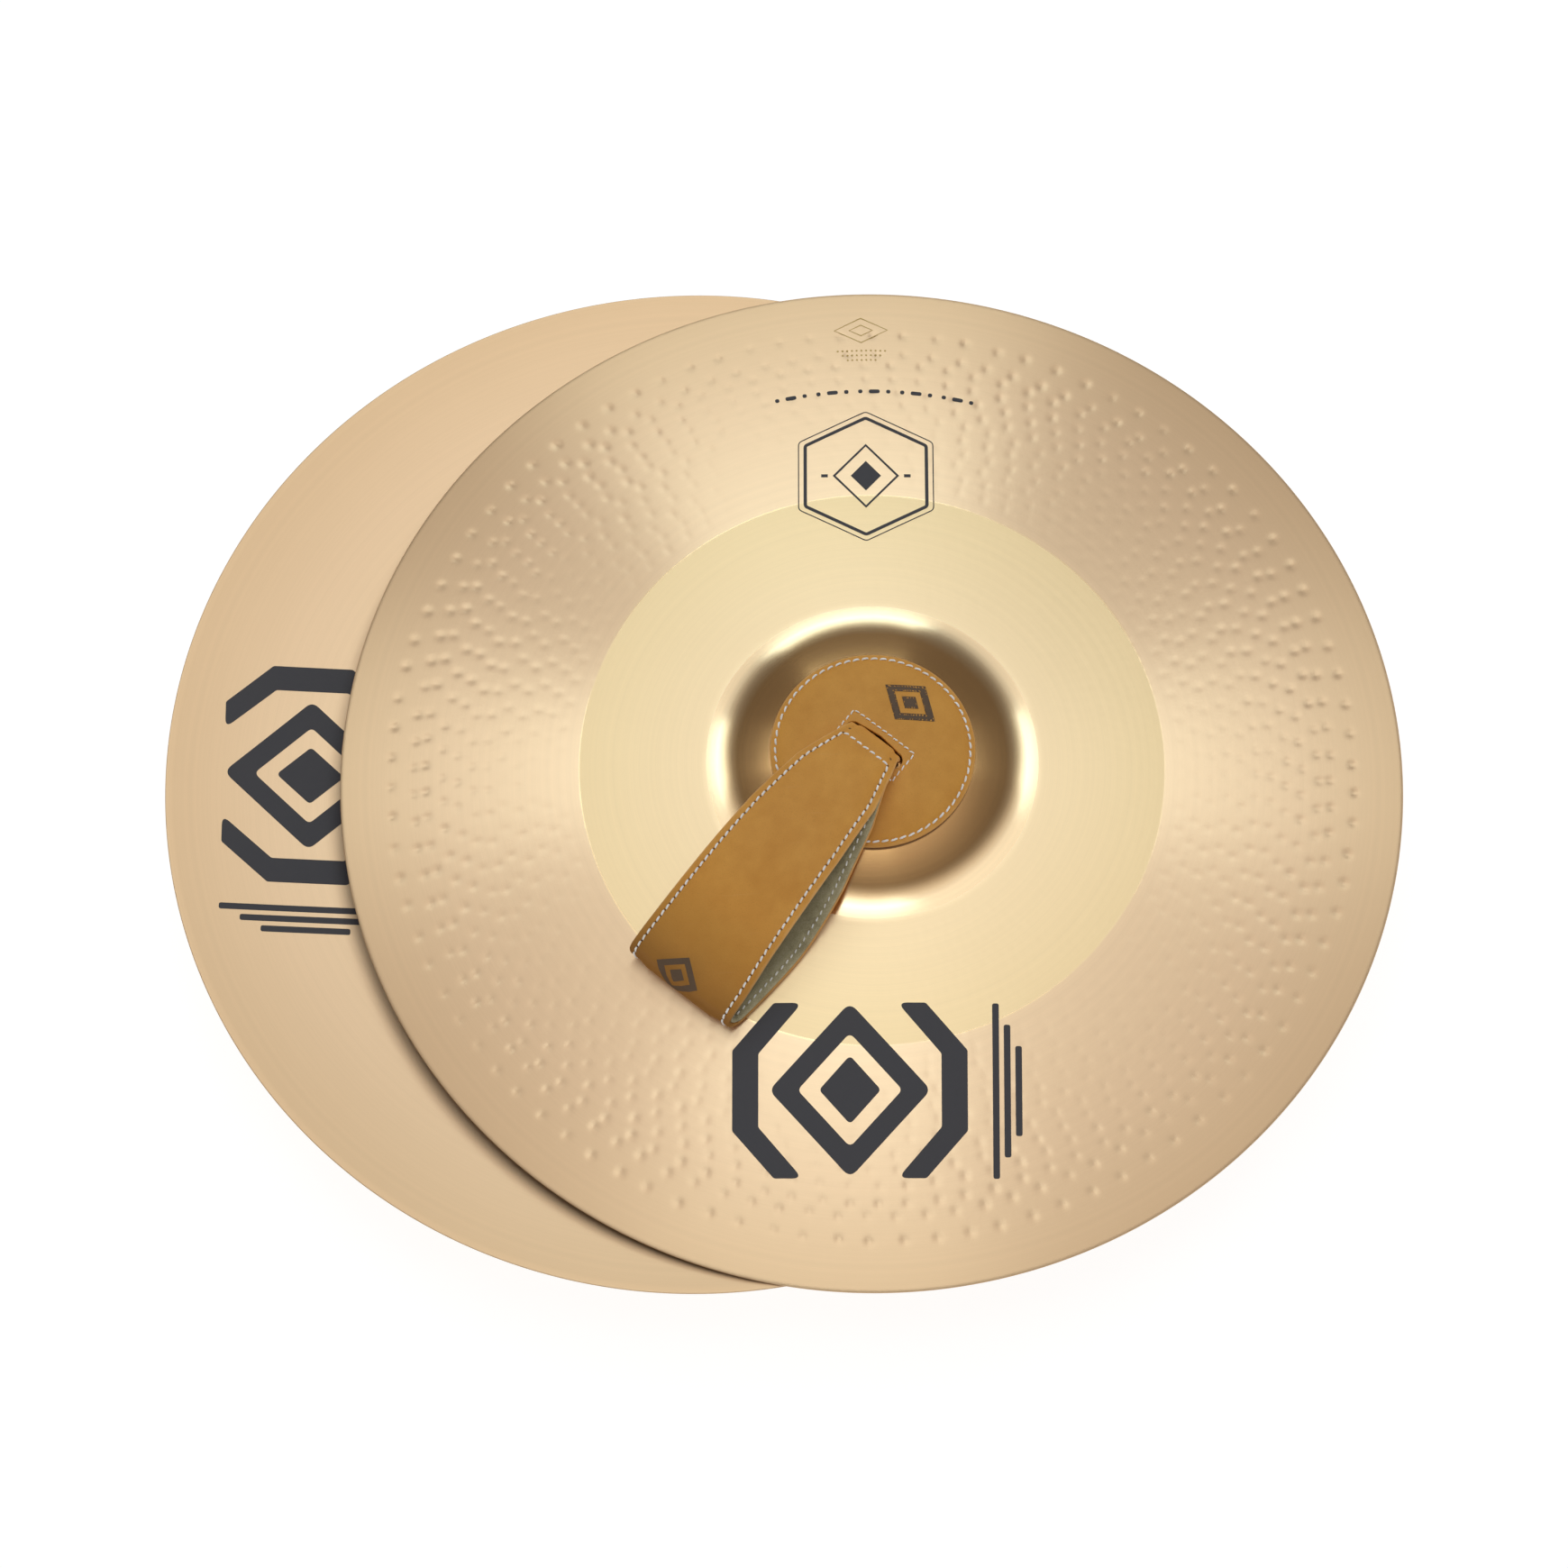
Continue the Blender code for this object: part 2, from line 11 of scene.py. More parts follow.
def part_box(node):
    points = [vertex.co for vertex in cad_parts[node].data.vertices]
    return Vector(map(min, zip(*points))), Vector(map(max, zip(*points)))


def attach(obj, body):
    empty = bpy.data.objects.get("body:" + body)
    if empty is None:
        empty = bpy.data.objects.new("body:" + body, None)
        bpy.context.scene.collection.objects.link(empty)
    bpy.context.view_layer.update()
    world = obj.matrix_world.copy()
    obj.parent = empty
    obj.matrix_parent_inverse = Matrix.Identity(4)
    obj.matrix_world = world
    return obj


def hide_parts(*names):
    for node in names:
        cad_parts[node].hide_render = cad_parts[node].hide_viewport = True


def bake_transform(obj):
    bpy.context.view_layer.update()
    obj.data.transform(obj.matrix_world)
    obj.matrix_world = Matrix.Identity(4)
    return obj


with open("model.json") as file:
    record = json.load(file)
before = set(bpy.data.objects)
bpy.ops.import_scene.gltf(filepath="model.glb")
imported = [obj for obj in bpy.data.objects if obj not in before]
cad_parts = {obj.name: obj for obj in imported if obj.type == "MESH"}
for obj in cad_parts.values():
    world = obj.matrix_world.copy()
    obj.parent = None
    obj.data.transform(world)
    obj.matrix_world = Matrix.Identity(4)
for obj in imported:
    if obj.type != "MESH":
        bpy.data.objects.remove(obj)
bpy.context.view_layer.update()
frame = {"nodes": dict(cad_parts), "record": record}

MM = 0.001

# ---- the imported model's own places
front_low, front_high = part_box("front_cymbal")
rear_low, rear_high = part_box("rear_cymbal")
FRONT_Z = front_low[2]
FRONT_AT = ((front_low[0] + front_high[0]) / 2, (front_low[1] + front_high[1]) / 2, FRONT_Z)
REAR_AT = ((rear_low[0] + rear_high[0]) / 2, (rear_low[1] + rear_high[1]) / 2, rear_high[2])
RIM_R = (front_high[0] - front_low[0]) / 2 / MM
SWING = next(j for j in frame["record"]["behaviour"]["joints"] if j["name"] == "front_strap_swing")
STRAP_HEADING = math.atan2(SWING["axis"][0], -SWING["axis"][1])
HINGE_Z = (SWING["pos_m"][2] - FRONT_Z) / MM

# ---- the cymbal's section, in mm, bell up
HOLE_R = 6.5
BELL_R = 66.0
BELL_SPHERE_R = 145.0
BELL_APEX = 36.0
FILLET_FROM, FILLET_TO = 58.0, 73.0
BOW_RISE, BOW_POWER = 21.0, 1.25
THICK_BELL, THICK_EDGE = 1.4, 0.9
ZONE_FROM = 71.0  # the pale middle zone starts at this radius and ends at this share of the rim's
ZONE_SHARE = 0.549

# ---- the pad, in mm over the rim plane
PAD_R = 43.7
PAD_TOP = 42.3
PAD_SEAM_R = 41.4
PAD_PITCH, SLOT_PITCH = 3.9, 2.9
SLOT_HALF_LONG, SLOT_HALF_WIDE, SLOT_BOW = 14.8, 3.3, 1.9
SLOT_SEAM_HALF_X, SLOT_SEAM_HALF_Y = 7.8, 16.2
PAD_STAMP = (-25.5, 0.0)
PAD_STAMP_SIZES = ((10.5, 13.5), (6.6, 8.5), (3.6, 4.6))  # half-sizes of its three nested lozenges

# ---- the straps' leather and seams, in mm
LEATHER_T, LINING_T = 2.2, 1.8
SEAM_INSET = 3.2
STITCH_PITCH = 3.3


def add_object(name, data):
    made = bpy.data.objects.new(name, data)
    bpy.context.scene.collection.objects.link(made)
    return made


def polar(r, angle):
    return r * math.cos(angle), r * math.sin(angle)


def arc(x, z, wide, tall, turns):
    """Points of an arc round (x, z), at turns in degrees up from +X."""
    return [(x + wide * math.cos(math.radians(a)), z + tall * math.sin(math.radians(a))) for a in turns]


def cap(r):
    return BELL_APEX - BELL_SPHERE_R + np.sqrt(BELL_SPHERE_R**2 - np.minimum(r, 80.0) ** 2)


def bow(r):
    s = np.maximum(0.0, (r - BELL_R) / (RIM_R - BELL_R))
    return BOW_RISE * (1.0 - s**BOW_POWER)


def inner_z(r):
    r = np.asarray(r, dtype=float)
    wide = FILLET_TO - FILLET_FROM
    t = np.clip((r - FILLET_FROM) / wide, 0.0, 1.0)
    z0, z1 = cap(FILLET_FROM), bow(FILLET_TO)
    m0 = (z0 - cap(FILLET_FROM - 0.01)) / 0.01 * wide
    m1 = (bow(FILLET_TO + 0.01) - z1) / 0.01 * wide
    fillet = ((2 * t**3 - 3 * t**2 + 1) * z0 + (t**3 - 2 * t**2 + t) * m0
              + (3 * t**2 - 2 * t**3) * z1 + (t**3 - t**2) * m1)
    return np.where(r <= FILLET_FROM, cap(r), np.where(r >= FILLET_TO, bow(r), fillet))


def thickness(r):
    return THICK_BELL + (THICK_EDGE - THICK_BELL) * r / RIM_R


def outer_z(r):
    return inner_z(r) + thickness(r)


# ---- camera
CAM_ELEVATION = math.radians(70.0)
CAM_DISTANCE = 2.53
AIM = Vector((0.0, -0.0024, FRONT_Z))
camera_data = bpy.data.cameras.new("camera")
camera_data.lens = 135.0
camera_data.sensor_width = 36.0
camera = add_object("camera", camera_data)
camera.location = AIM + CAM_DISTANCE * Vector((0.0, -math.cos(CAM_ELEVATION), math.sin(CAM_ELEVATION)))
camera.rotation_euler = (math.pi / 2 - CAM_ELEVATION, 0.0, 0.0)
bpy.context.scene.camera = camera
bpy.context.scene.view_settings.view_transform = "Standard"

# ---- light and floor
SOFTBOX = Vector((0.0, math.sin(math.radians(10.0)), math.cos(math.radians(10.0))))
SKY_STOPS = ((40.0, 0.17), (13.0, 1.15), (62.0, 0.17), (82.0, 0.75))  # degrees from SOFTBOX, brightness
STREAK_COLOUR = (0.72, 0.89, 0.96)
world = bpy.data.worlds.new("studio")
bpy.context.scene.world = world
world.use_nodes = True
sky = world.node_tree
sky_dot = sky.nodes.new("ShaderNodeVectorMath")
sky_dot.operation = "DOT_PRODUCT"
sky.links.new(sky.nodes.new("ShaderNodeTexCoord").outputs["Generated"], sky_dot.inputs[0])
sky_dot.inputs[1].default_value = SOFTBOX
sky_ramp = sky.nodes.new("ShaderNodeValToRGB")
sky_ramp.color_ramp.interpolation = "EASE"
stops = sky_ramp.color_ramp.elements
for i, (turned, level) in enumerate(SKY_STOPS):
    share = math.cos(math.radians(turned))
    stop = stops[i] if i < 2 else stops.new(share)
    stop.position = share
    stop.color = (level, level, level, 1.0)
sky.links.new(sky_dot.outputs["Value"], sky_ramp.inputs[0])
sky.links.new(sky_ramp.outputs[0], sky.nodes["Background"].inputs["Color"])
TO_CAMERA = (camera.location - AIM).normalized()
LIGHT_TILT, LIGHT_TALL, LIGHT_DISTANCE, LIGHT_AIM_Z = 12.5, 0.6, 2.7, 0.06
LIGHTS = (("north", 97, 1.15, 5.6), ("south", 266, 0.9, 3.3), ("east", 0, 0.65, 2.3),
          ("west", 180, 0.65, 2.5))  # heading, width, power

for name, heading, wide, power in LIGHTS:
    # Each reflection lies on the plates towards its heading (0 is +X, 90 is +Y), LIGHT_TILT degrees out.
    tilt = math.radians(LIGHT_TILT)
    x, y = polar(math.sin(tilt), math.radians(heading))
    half_way = Vector((x, y, math.cos(tilt)))
    away = 2 * half_way.dot(TO_CAMERA) * half_way - TO_CAMERA
    data = bpy.data.lights.new(f"light_{name}", "AREA")
    data.shape = "RECTANGLE"
    data.size, data.size_y = wide, LIGHT_TALL
    data.energy = power
    data.color = STREAK_COLOUR
    upright = (SOFTBOX - SOFTBOX.dot(away) * away).normalized()
    turn = Matrix((upright.cross(away), upright, away)).transposed().to_4x4()
    at = Matrix.Translation(Vector((0.0, 0.0, LIGHT_AIM_Z)) + away * LIGHT_DISTANCE)
    add_object(f"light_{name}", data).matrix_world = at @ turn

# ---- materials


class Shader:
    """A material's nodes, with short ways to make and join them."""

    def __init__(self, name):
        self.material = bpy.data.materials.new(name)
        self.material.use_nodes = True
        self.tree = self.material.node_tree
        self.place = self.tree.nodes.new("ShaderNodeTexCoord").outputs["Object"]

    def node(self, kind, **values):
        made = self.tree.nodes.new("ShaderNode" + kind)
        for name, value in values.items():
            if hasattr(made, name):
                setattr(made, name, value)
            else:
                self.feed(made.inputs[name.replace("_", " ")], value)
        return made

    def feed(self, socket, value):
        if isinstance(value, bpy.types.NodeSocket):
            self.tree.links.new(value, socket)
        else:
            socket.default_value = value

    def math(self, operation, a, b=0.0, clamp=False):
        made = self.node("Math", operation=operation, use_clamp=clamp)
        self.feed(made.inputs[0], a)
        self.feed(made.inputs[1], b)
        return made.outputs[0]

    def times(self, a, b, clamp=False):
        return self.math("MULTIPLY", a, b, clamp)

    def minus(self, a, b, clamp=False):
        return self.math("SUBTRACT", a, b, clamp)

    def total(self, *parts):
        """The sum of its parts; a part (value, weight) is multiplied first."""
        parts = [self.times(*part) if isinstance(part, tuple) else part for part in parts]
        made = parts[0]
        for part in parts[1:]:
            made = self.math("ADD", made, part)
        return made

    def about_zero(self, noise, reach):
        return self.times(self.minus(noise, 0.5), reach)

    def mix(self, share, a, b, blend="MIX"):
        made = self.node("Mix", data_type="RGBA", blend_type=blend)
        self.feed(made.inputs["Factor"], share)
        self.feed(made.inputs["A"], rgba(a))
        self.feed(made.inputs["B"], rgba(b))
        return made.outputs["Result"]

    def ramp(self, value, *stops):
        made = self.node("ValToRGB", Fac=value)
        band = made.color_ramp
        band.elements[0].position, band.elements[1].position = stops[0][0], stops[-1][0]
        for position, _ in stops[1:-1]:
            band.elements.new(position)
        for element, (_, colour) in zip(band.elements, stops):
            element.color = rgba(colour)
        return made.outputs[0]

    def over(self, under, other, value, *stops):
        """Lays other over under, as much as a ramp of value says."""
        return self.mix(self.ramp(value, *stops), under, other)

    def noise(self, vector, scale, detail=3.0, rough=0.5):
        made = self.node("TexNoise", Vector=vector, Scale=scale, Detail=detail, Roughness=rough)
        return made.outputs["Fac"]

    def stretched(self, scale, detail, rough, turn=0.0):
        """Noise with a scale of its own along each axis."""
        mapped = self.node("Mapping", Vector=self.place, Scale=scale, Rotation=(0.0, 0.0, turn))
        return self.noise(mapped.outputs[0], 1.0, detail, rough)

    def bump(self, height, distance, strength):
        return self.node("Bump", Strength=strength, Distance=distance, Height=height).outputs[0]

    def split(self, vector):
        return self.node("SeparateXYZ", Vector=vector).outputs

    def join(self, x, y, z):
        return self.node("CombineXYZ", X=x, Y=y, Z=z).outputs[0]

    def radius(self):
        x, y, _ = self.split(self.place)
        return self.math("SQRT", self.total((x, x), (y, y)))

    def set(self, **values):
        for name, value in values.items():
            if isinstance(value, tuple):
                value = rgba(value)
            self.feed(self.tree.nodes["Principled BSDF"].inputs[name.replace("_", " ")], value)
        return self.material


def rgba(colour):
    """A colour with its alpha; a single number is a grey, and a socket stays as it is."""
    if isinstance(colour, float):
        colour = (colour,) * 3
    return (*colour, 1.0) if isinstance(colour, tuple) else colour


ZONE_IN, ZONE_OUT = ZONE_SHARE - 0.002, ZONE_SHARE + 0.002


def bronze_material(name, anisotropic, zone_gloss, bow_gloss):
    """Clear cast bronze: lathed rings, a paler middle zone, a bell painted darker as painted shade, faint
    tarnish clouds.
    """
    s = Shader(name)
    radius = s.radius()
    wobble = s.about_zero(s.noise(s.place, 14.0, 5.0, 0.7), 0.014)
    share = s.total(s.math("DIVIDE", radius, RIM_R * MM), wobble)
    rings = s.noise(s.join(radius, 0.0, 0.0), 2600.0, 2.0)
    broad = s.noise(s.join(radius, 0.0, 0.0), 420.0, 3.0)
    cloud = s.noise(s.place, 9.0, 4.0, 0.6)
    # The first stop paints the bell darker and redder than the bow: painted shade for the dark reflection
    # round the pad.
    zone = s.ramp(share, (0.250, (0.66, 0.37, 0.15)), (0.290, (0.92, 0.71, 0.44)),
                  (ZONE_IN, (0.88, 0.67, 0.385)), (ZONE_OUT, (0.84, 0.62, 0.395)),
                  (0.80, (0.79, 0.56, 0.35)), (1.0, (0.71, 0.49, 0.29)))
    tone = s.total((rings, 0.10), (broad, 0.10), (cloud, 0.06), 0.87)
    colour = s.mix(1.0, zone, s.join(tone, tone, tone), "MULTIPLY")
    gloss = s.ramp(share, (0.25, 0.18), (0.29, 0.17), (0.32, zone_gloss), (ZONE_IN, zone_gloss),
                   (ZONE_OUT, bow_gloss - 0.04), (0.85, bow_gloss))
    rough = s.total(gloss, s.about_zero(rings, 0.06))
    tangent = s.node("Tangent", direction_type="RADIAL", axis="Z").outputs[0]
    return s.set(Base_Color=colour, Metallic=1.0, Roughness=rough, Anisotropic=anisotropic,
                 Anisotropic_Rotation=0.25, Tangent=tangent,
                 Normal=s.bump(s.total((rings, 0.7), broad), 0.00003, 0.35))


def leather_material(name, light, dark, edge_colour, layout):
    """Tanned hide: soft mottling, pebbled grain with pores, a few scuffs and a worn, paler edge.

    layout "strap" reads each point's place on its strip, and adds stitch holes painted dark as painted shade
    and a fold darkened with painted shade; "pad" finds the edge from the radius; None has no worn edge."""
    s = Shader(name)
    mottle = s.noise(s.place, 38.0, 4.0, 0.55)
    blotch = s.noise(s.place, 150.0, 3.0, 0.5)
    grain = s.node("TexVoronoi", feature="DISTANCE_TO_EDGE", Vector=s.place, Scale=950.0)
    pores = s.noise(s.place, 2600.0, 2.0, 0.6)
    scuff = s.stretched((30.0, 420.0, 60.0), 3.0, 0.6, turn=0.5)
    colour = s.over(light, dark, s.total((mottle, 0.65), (blotch, 0.35)), (0.30, 0.0), (0.72, 0.85))
    colour = s.over(colour, tuple(c * 0.55 for c in dark), pores, (0.56, 0.0), (0.75, 0.35))
    colour = s.over(colour, edge_colour, scuff, (0.66, 0.0), (0.80, 0.30))
    if layout == "strap":
        along, from_fold, gap = s.split(s.node("Attribute", attribute_name="lay").outputs["Vector"])
    elif layout == "pad":
        gap = s.minus(PAD_R * MM, s.radius())
    if layout:
        worn = s.total(gap, s.about_zero(blotch, 0.0011))
        colour = s.over(colour, edge_colour, s.times(worn, 1 / MM), (0.0, 0.75), (1.0, 0.0))
    pebbles = s.math("MINIMUM", s.times(grain.outputs["Distance"], 2.2), 1.0)
    height = s.total((pebbles, 0.7), (pores, 0.5))
    if layout == "strap":
        # Darker towards the fold: painted shade of the folded leather turned away from the light.
        painted_fold_shade = s.total(from_fold, s.about_zero(mottle, 0.02))
        colour = s.over(colour, tuple(c * 0.42 for c in dark), s.times(painted_fold_shade, 20.0),
                        (0.06, 0.85), (0.30, 0.45), (0.90, 0.0))
        # Dark spots where the stitches go in: painted shade in the stitch holes.
        wave = s.math("COSINE", s.times(along, 2 * math.pi / (STITCH_PITCH * MM)))
        off_seam = s.math("ABSOLUTE", s.minus(gap, SEAM_INSET * MM))
        near = s.minus(1.0, s.times(off_seam, 1300.0), clamp=True)
        peak = s.times(s.minus(wave, 0.45), 2.2, clamp=True)
        hole = s.times(s.times(near, peak, clamp=True), s.math("GREATER_THAN", along, 0.0095))
        colour = s.mix(hole, colour, (0.06, 0.025, 0.008))
    return s.set(Base_Color=colour, Roughness=s.total(0.46, (mottle, 0.16)), Specular_IOR_Level=0.3,
                 Normal=s.bump(height, 0.00012, 0.30))


def suede_material():
    """Split hide: a grey-green nap brushed into lighter and darker patches."""
    s = Shader("suede")
    nap = s.noise(s.place, 2200.0, 3.0, 0.7)
    brushed = s.noise(s.place, 120.0, 4.0, 0.6)
    colour = s.ramp(s.total((nap, 0.5), (brushed, 0.5)), (0.34, (0.27, 0.225, 0.125)),
                    (0.52, (0.45, 0.385, 0.225)), (0.70, (0.60, 0.53, 0.345)))
    return s.set(Base_Color=colour, Roughness=0.95, Sheen_Weight=0.25, Sheen_Roughness=0.5,
                 Normal=s.bump(nap, 0.0003, 0.5))


def felt_material():
    """Pressed wool: crossing pale and dark fibres."""
    s = Shader("felt")
    fibres = s.stretched((2600.0, 500.0, 900.0), 4.0, 0.7)
    crossing = s.stretched((500.0, 2600.0, 900.0), 4.0, 0.7)
    tangle = s.math("MAXIMUM", fibres, crossing)
    colour = s.ramp(tangle, (0.40, (0.22, 0.21, 0.18)), (0.60, (0.50, 0.48, 0.42)),
                    (0.75, (0.62, 0.60, 0.54)))
    return s.set(Base_Color=colour, Roughness=0.97, Sheen_Weight=0.3, Normal=s.bump(tangle, 0.0004, 0.6))


def thread_material():
    """Waxed linen thread: fine twisted strands, slightly soiled."""
    s = Shader("thread")
    strands = s.noise(s.place, 5200.0, 2.0, 0.6)
    soil = s.noise(s.place, 90.0, 3.0, 0.6)
    clean = s.ramp(soil, (0.34, (0.93, 0.87, 0.77)), (0.52, (1.0, 0.97, 0.92)))
    colour = s.over(clean, (0.62, 0.52, 0.38), strands, (0.28, 0.25), (0.50, 0.0))
    return s.set(Base_Color=colour, Roughness=0.62, Normal=s.bump(strands, 0.0001, 0.5))


def print_material(name, colour, faded, roughness, metallic=0.0):
    """A printed layer: even ink with a slightly uneven, faintly speckled film."""
    s = Shader(name)
    film = s.noise(s.place, 60.0, 4.0, 0.6)
    speck = s.noise(s.place, 1500.0, 2.0, 0.5)
    tint = s.over(colour, faded, film, (0.35, 0.0), (0.70, 0.6))
    tint = s.over(tint, faded, speck, (0.62, 0.0), (0.78, 0.35))
    return s.set(Base_Color=tint, Roughness=s.total(roughness - 0.06, (film, 0.12)), Metallic=metallic,
                 Normal=s.bump(speck, 0.00002, 0.4))


bronze = bronze_material("cymbal_bronze", 0.86, 0.24, 0.36)
inner_bronze = bronze_material("inner_zone_bronze", 0.2, 0.44, 0.44)
hollow_bronze = bronze_material("hollow_side_bronze", 0.45, 0.40, 0.42)
leather, pad_leather, leather_base, thong_leather = (leather_material(*row) for row in (
    ("saddle_leather", (0.78, 0.36, 0.062), (0.64, 0.265, 0.038), (0.78, 0.44, 0.16), "strap"),
    ("pad_leather", (0.76, 0.355, 0.062), (0.64, 0.275, 0.042), (0.72, 0.38, 0.12), "pad"),
    ("base_leather", (0.30, 0.14, 0.045), (0.21, 0.09, 0.028), (0.34, 0.18, 0.07), "pad"),
    ("thong_leather", (0.38, 0.185, 0.055), (0.26, 0.115, 0.03), (0.5, 0.3, 0.1), None)))
suede = suede_material()
felt = felt_material()
thread = thread_material()
ink = print_material("ink", (0.030, 0.025, 0.031), (0.045, 0.038, 0.042), 0.48)
gold_ink = print_material("gold_ink", (0.50, 0.31, 0.07), (0.58, 0.40, 0.13), 0.42, 0.15)
stamped = print_material("stamped_leather", (0.105, 0.058, 0.028), (0.15, 0.085, 0.04), 0.6)

# ---- making pieces


def evaluated(obj):
    bpy.context.view_layer.update()
    return bpy.data.meshes.new_from_object(obj.evaluated_get(bpy.context.evaluated_depsgraph_get()))


def add_mesh(name, verts, faces, material, matrix=Matrix()):
    """A smooth closed mesh from points in mm, with every face turned outwards."""
    mesh = bpy.data.meshes.new(name)
    mesh.from_pydata([matrix @ (Vector(v) * MM) for v in verts], [], faces)
    mesh.update()
    mesh.materials.append(material)
    mesh.polygons.foreach_set("use_smooth", [True] * len(mesh.polygons))
    bm = bmesh.new()
    bm.from_mesh(mesh)
    bmesh.ops.recalc_face_normals(bm, faces=bm.faces)
    bm.to_mesh(mesh)
    bm.free()
    return add_object(name, mesh)


def stand_in(piece, body, node):
    """Lets a piece ride on a body and stand for a CAD node."""
    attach(piece, body)
    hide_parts(node)


HEADINGS = {"front": STRAP_HEADING, "rear": 0.0}


def placing(side, heading=0.0):
    """The frame of a cymbal (bell up, rim plane at zero), turned about its axis."""
    if side == "front":
        at = Matrix.Translation(FRONT_AT)
    else:
        at = Matrix.Translation(REAR_AT) @ Matrix.Rotation(math.pi, 4, "X")
    return at @ Matrix.Rotation(heading, 4, "Z")


# ---- the cymbals

HAMMER_RINGS = (  # share of the rim radius, marks in the ring, depth in mm, half-size along and across in mm
    (0.905, 94, 0.30, 1.9, 2.0), (0.862, 100, 0.28, 1.9, 2.0), (0.838, 98, 0.27, 1.9, 2.0),
    (0.806, 96, 0.22, 1.9, 2.0), (0.778, 94, 0.18, 1.9, 2.0), (0.750, 92, 0.15, 2.0, 2.1),
    (0.722, 90, 0.125, 2.0, 2.1), (0.694, 88, 0.105, 2.1, 2.2), (0.666, 86, 0.09, 2.1, 2.2),
    (0.638, 84, 0.075, 2.1, 2.3), (0.610, 82, 0.065, 2.1, 2.3), (0.582, 80, 0.055, 2.1, 2.3))
INNER_ROWS, INNER_SPACING = 11, 4.6
MARK_REACH = 2.2  # how many half-sizes from its middle a mark still counts
INNER_FROM, INNER_TO = 0.345, 0.545


def hammer_marks():
    rng = random.Random(41)
    marks = []
    for index, (share, count, depth, along, across) in enumerate(HAMMER_RINGS):
        phase = rng.random()
        for i in range(count):
            angle = 2 * math.pi * (i + phase + rng.uniform(-0.06, 0.06)) / count
            r = RIM_R * (share + rng.uniform(-0.0022, 0.0022))
            marks.append((r, angle, depth * rng.uniform(0.7, 1.2), along, across))
    for row in range(INNER_ROWS):
        share = INNER_FROM + (INNER_TO - INNER_FROM) * row / (INNER_ROWS - 1)
        count = round(2 * math.pi * share * RIM_R / INNER_SPACING)
        phase = rng.random()
        for i in range(count):
            angle = 2 * math.pi * (i + phase + rng.uniform(-0.1, 0.1)) / count
            r = RIM_R * share + rng.uniform(-0.4, 0.4)
            marks.append((r, angle, 0.05 * rng.uniform(0.5, 1.3), 1.7, 1.8))
    return marks


def dents(radii, angle_count):
    """How far each point of a polar grid is hammered down, in mm."""
    depth = np.zeros((len(radii), angle_count))
    step = 2 * math.pi / angle_count
    for r, angle, deep, along, across in hammer_marks():
        lo, hi = np.searchsorted(radii, (r - MARK_REACH * across, r + MARK_REACH * across))
        if hi <= lo:
            continue
        reach = int(math.ceil(MARK_REACH * along / r / step))
        centre = int(round(angle / step))
        columns = np.arange(centre - reach, centre + reach + 1)
        sideways = (columns * step - angle) * r / along
        outward = (radii[lo:hi] - r) / across
        bowl = np.exp(-(outward[:, None] ** 2 + sideways[None, :] ** 2) * 1.4)
        depth[lo:hi, columns % angle_count] += deep * bowl
    return depth


RIM_ROUND = 0.45
COARSE = 576
FINE_FROM, FINE_TO = 0.555, 0.94


def cymbal_mesh():
    """One cymbal: hammered outer face, rounded rim, lathed inner face, hole. Returns the mesh's arrays.

    The outer bow has twice the columns, for its hammer marks. The last array gives each face's material."""
    out_r = np.linspace(HOLE_R + 0.5, RIM_R - RIM_ROUND, 205)
    in_r = np.linspace(RIM_R - RIM_ROUND, HOLE_R + 0.5, 64)
    dent = dents(out_r, 2 * COARSE)
    rows = []  # radius, height, whether it has twice the columns, whether it is on the hollow side
    for i, r in enumerate(out_r):
        fine = FINE_FROM < r / RIM_R < FINE_TO
        rows.append((r, outer_z(r) - (dent[i] if fine else dent[i, ::2]), fine, False))
    rim_mid = thickness(RIM_R) / 2
    rows += [(*p, False, False) for p in arc(RIM_R - RIM_ROUND, rim_mid, RIM_ROUND, rim_mid, (50, 0, -50))]
    rows += [(r, inner_z(r), False, True) for r in in_r]
    hole_top, hole_low = outer_z(HOLE_R), inner_z(HOLE_R)
    rows += [(HOLE_R, hole_low + 0.2, False, True), (HOLE_R, hole_top - 0.2, False, True)]
    verts, starts, total = [], [], 0
    for r, z, fine, _ in rows:
        count = COARSE * (2 if fine else 1)
        a = np.arange(count) * 2 * math.pi / count
        verts.append(np.stack([r * np.cos(a), r * np.sin(a), np.broadcast_to(z, count)], axis=1))
        starts.append(total)
        total += count
    faces, kind = [], []
    for i in range(len(rows)):
        k = (i + 1) % len(rows)
        fine, next_fine = rows[i][2], rows[k][2]
        if fine == next_fine:
            j = np.arange(COARSE * (2 if fine else 1))
            j2 = (j + 1) % len(j)
            band = np.stack([starts[i] + j, starts[k] + j, starts[k] + j2, starts[i] + j2], axis=-1)
        else:
            j = np.arange(COARSE)
            j2 = (j + 1) % COARSE
            a, b = (i, k) if next_fine else (k, i)
            band = np.stack([starts[a] + j, starts[b] + 2 * j, starts[b] + 2 * j + 1, starts[b] + 2 * j2,
                             starts[a] + j2], axis=-1)
            if fine:
                band = band[:, ::-1]
        faces.append(band)
        middle = (rows[i][0] + rows[k][0]) / 2
        zone = 1 if ZONE_FROM < middle < ZONE_SHARE * RIM_R else 0
        kind.append(np.full(len(band), 2 if rows[i][3] and rows[k][3] else zone, dtype=np.int32))
    return np.concatenate(verts) * MM, faces, np.concatenate(kind)


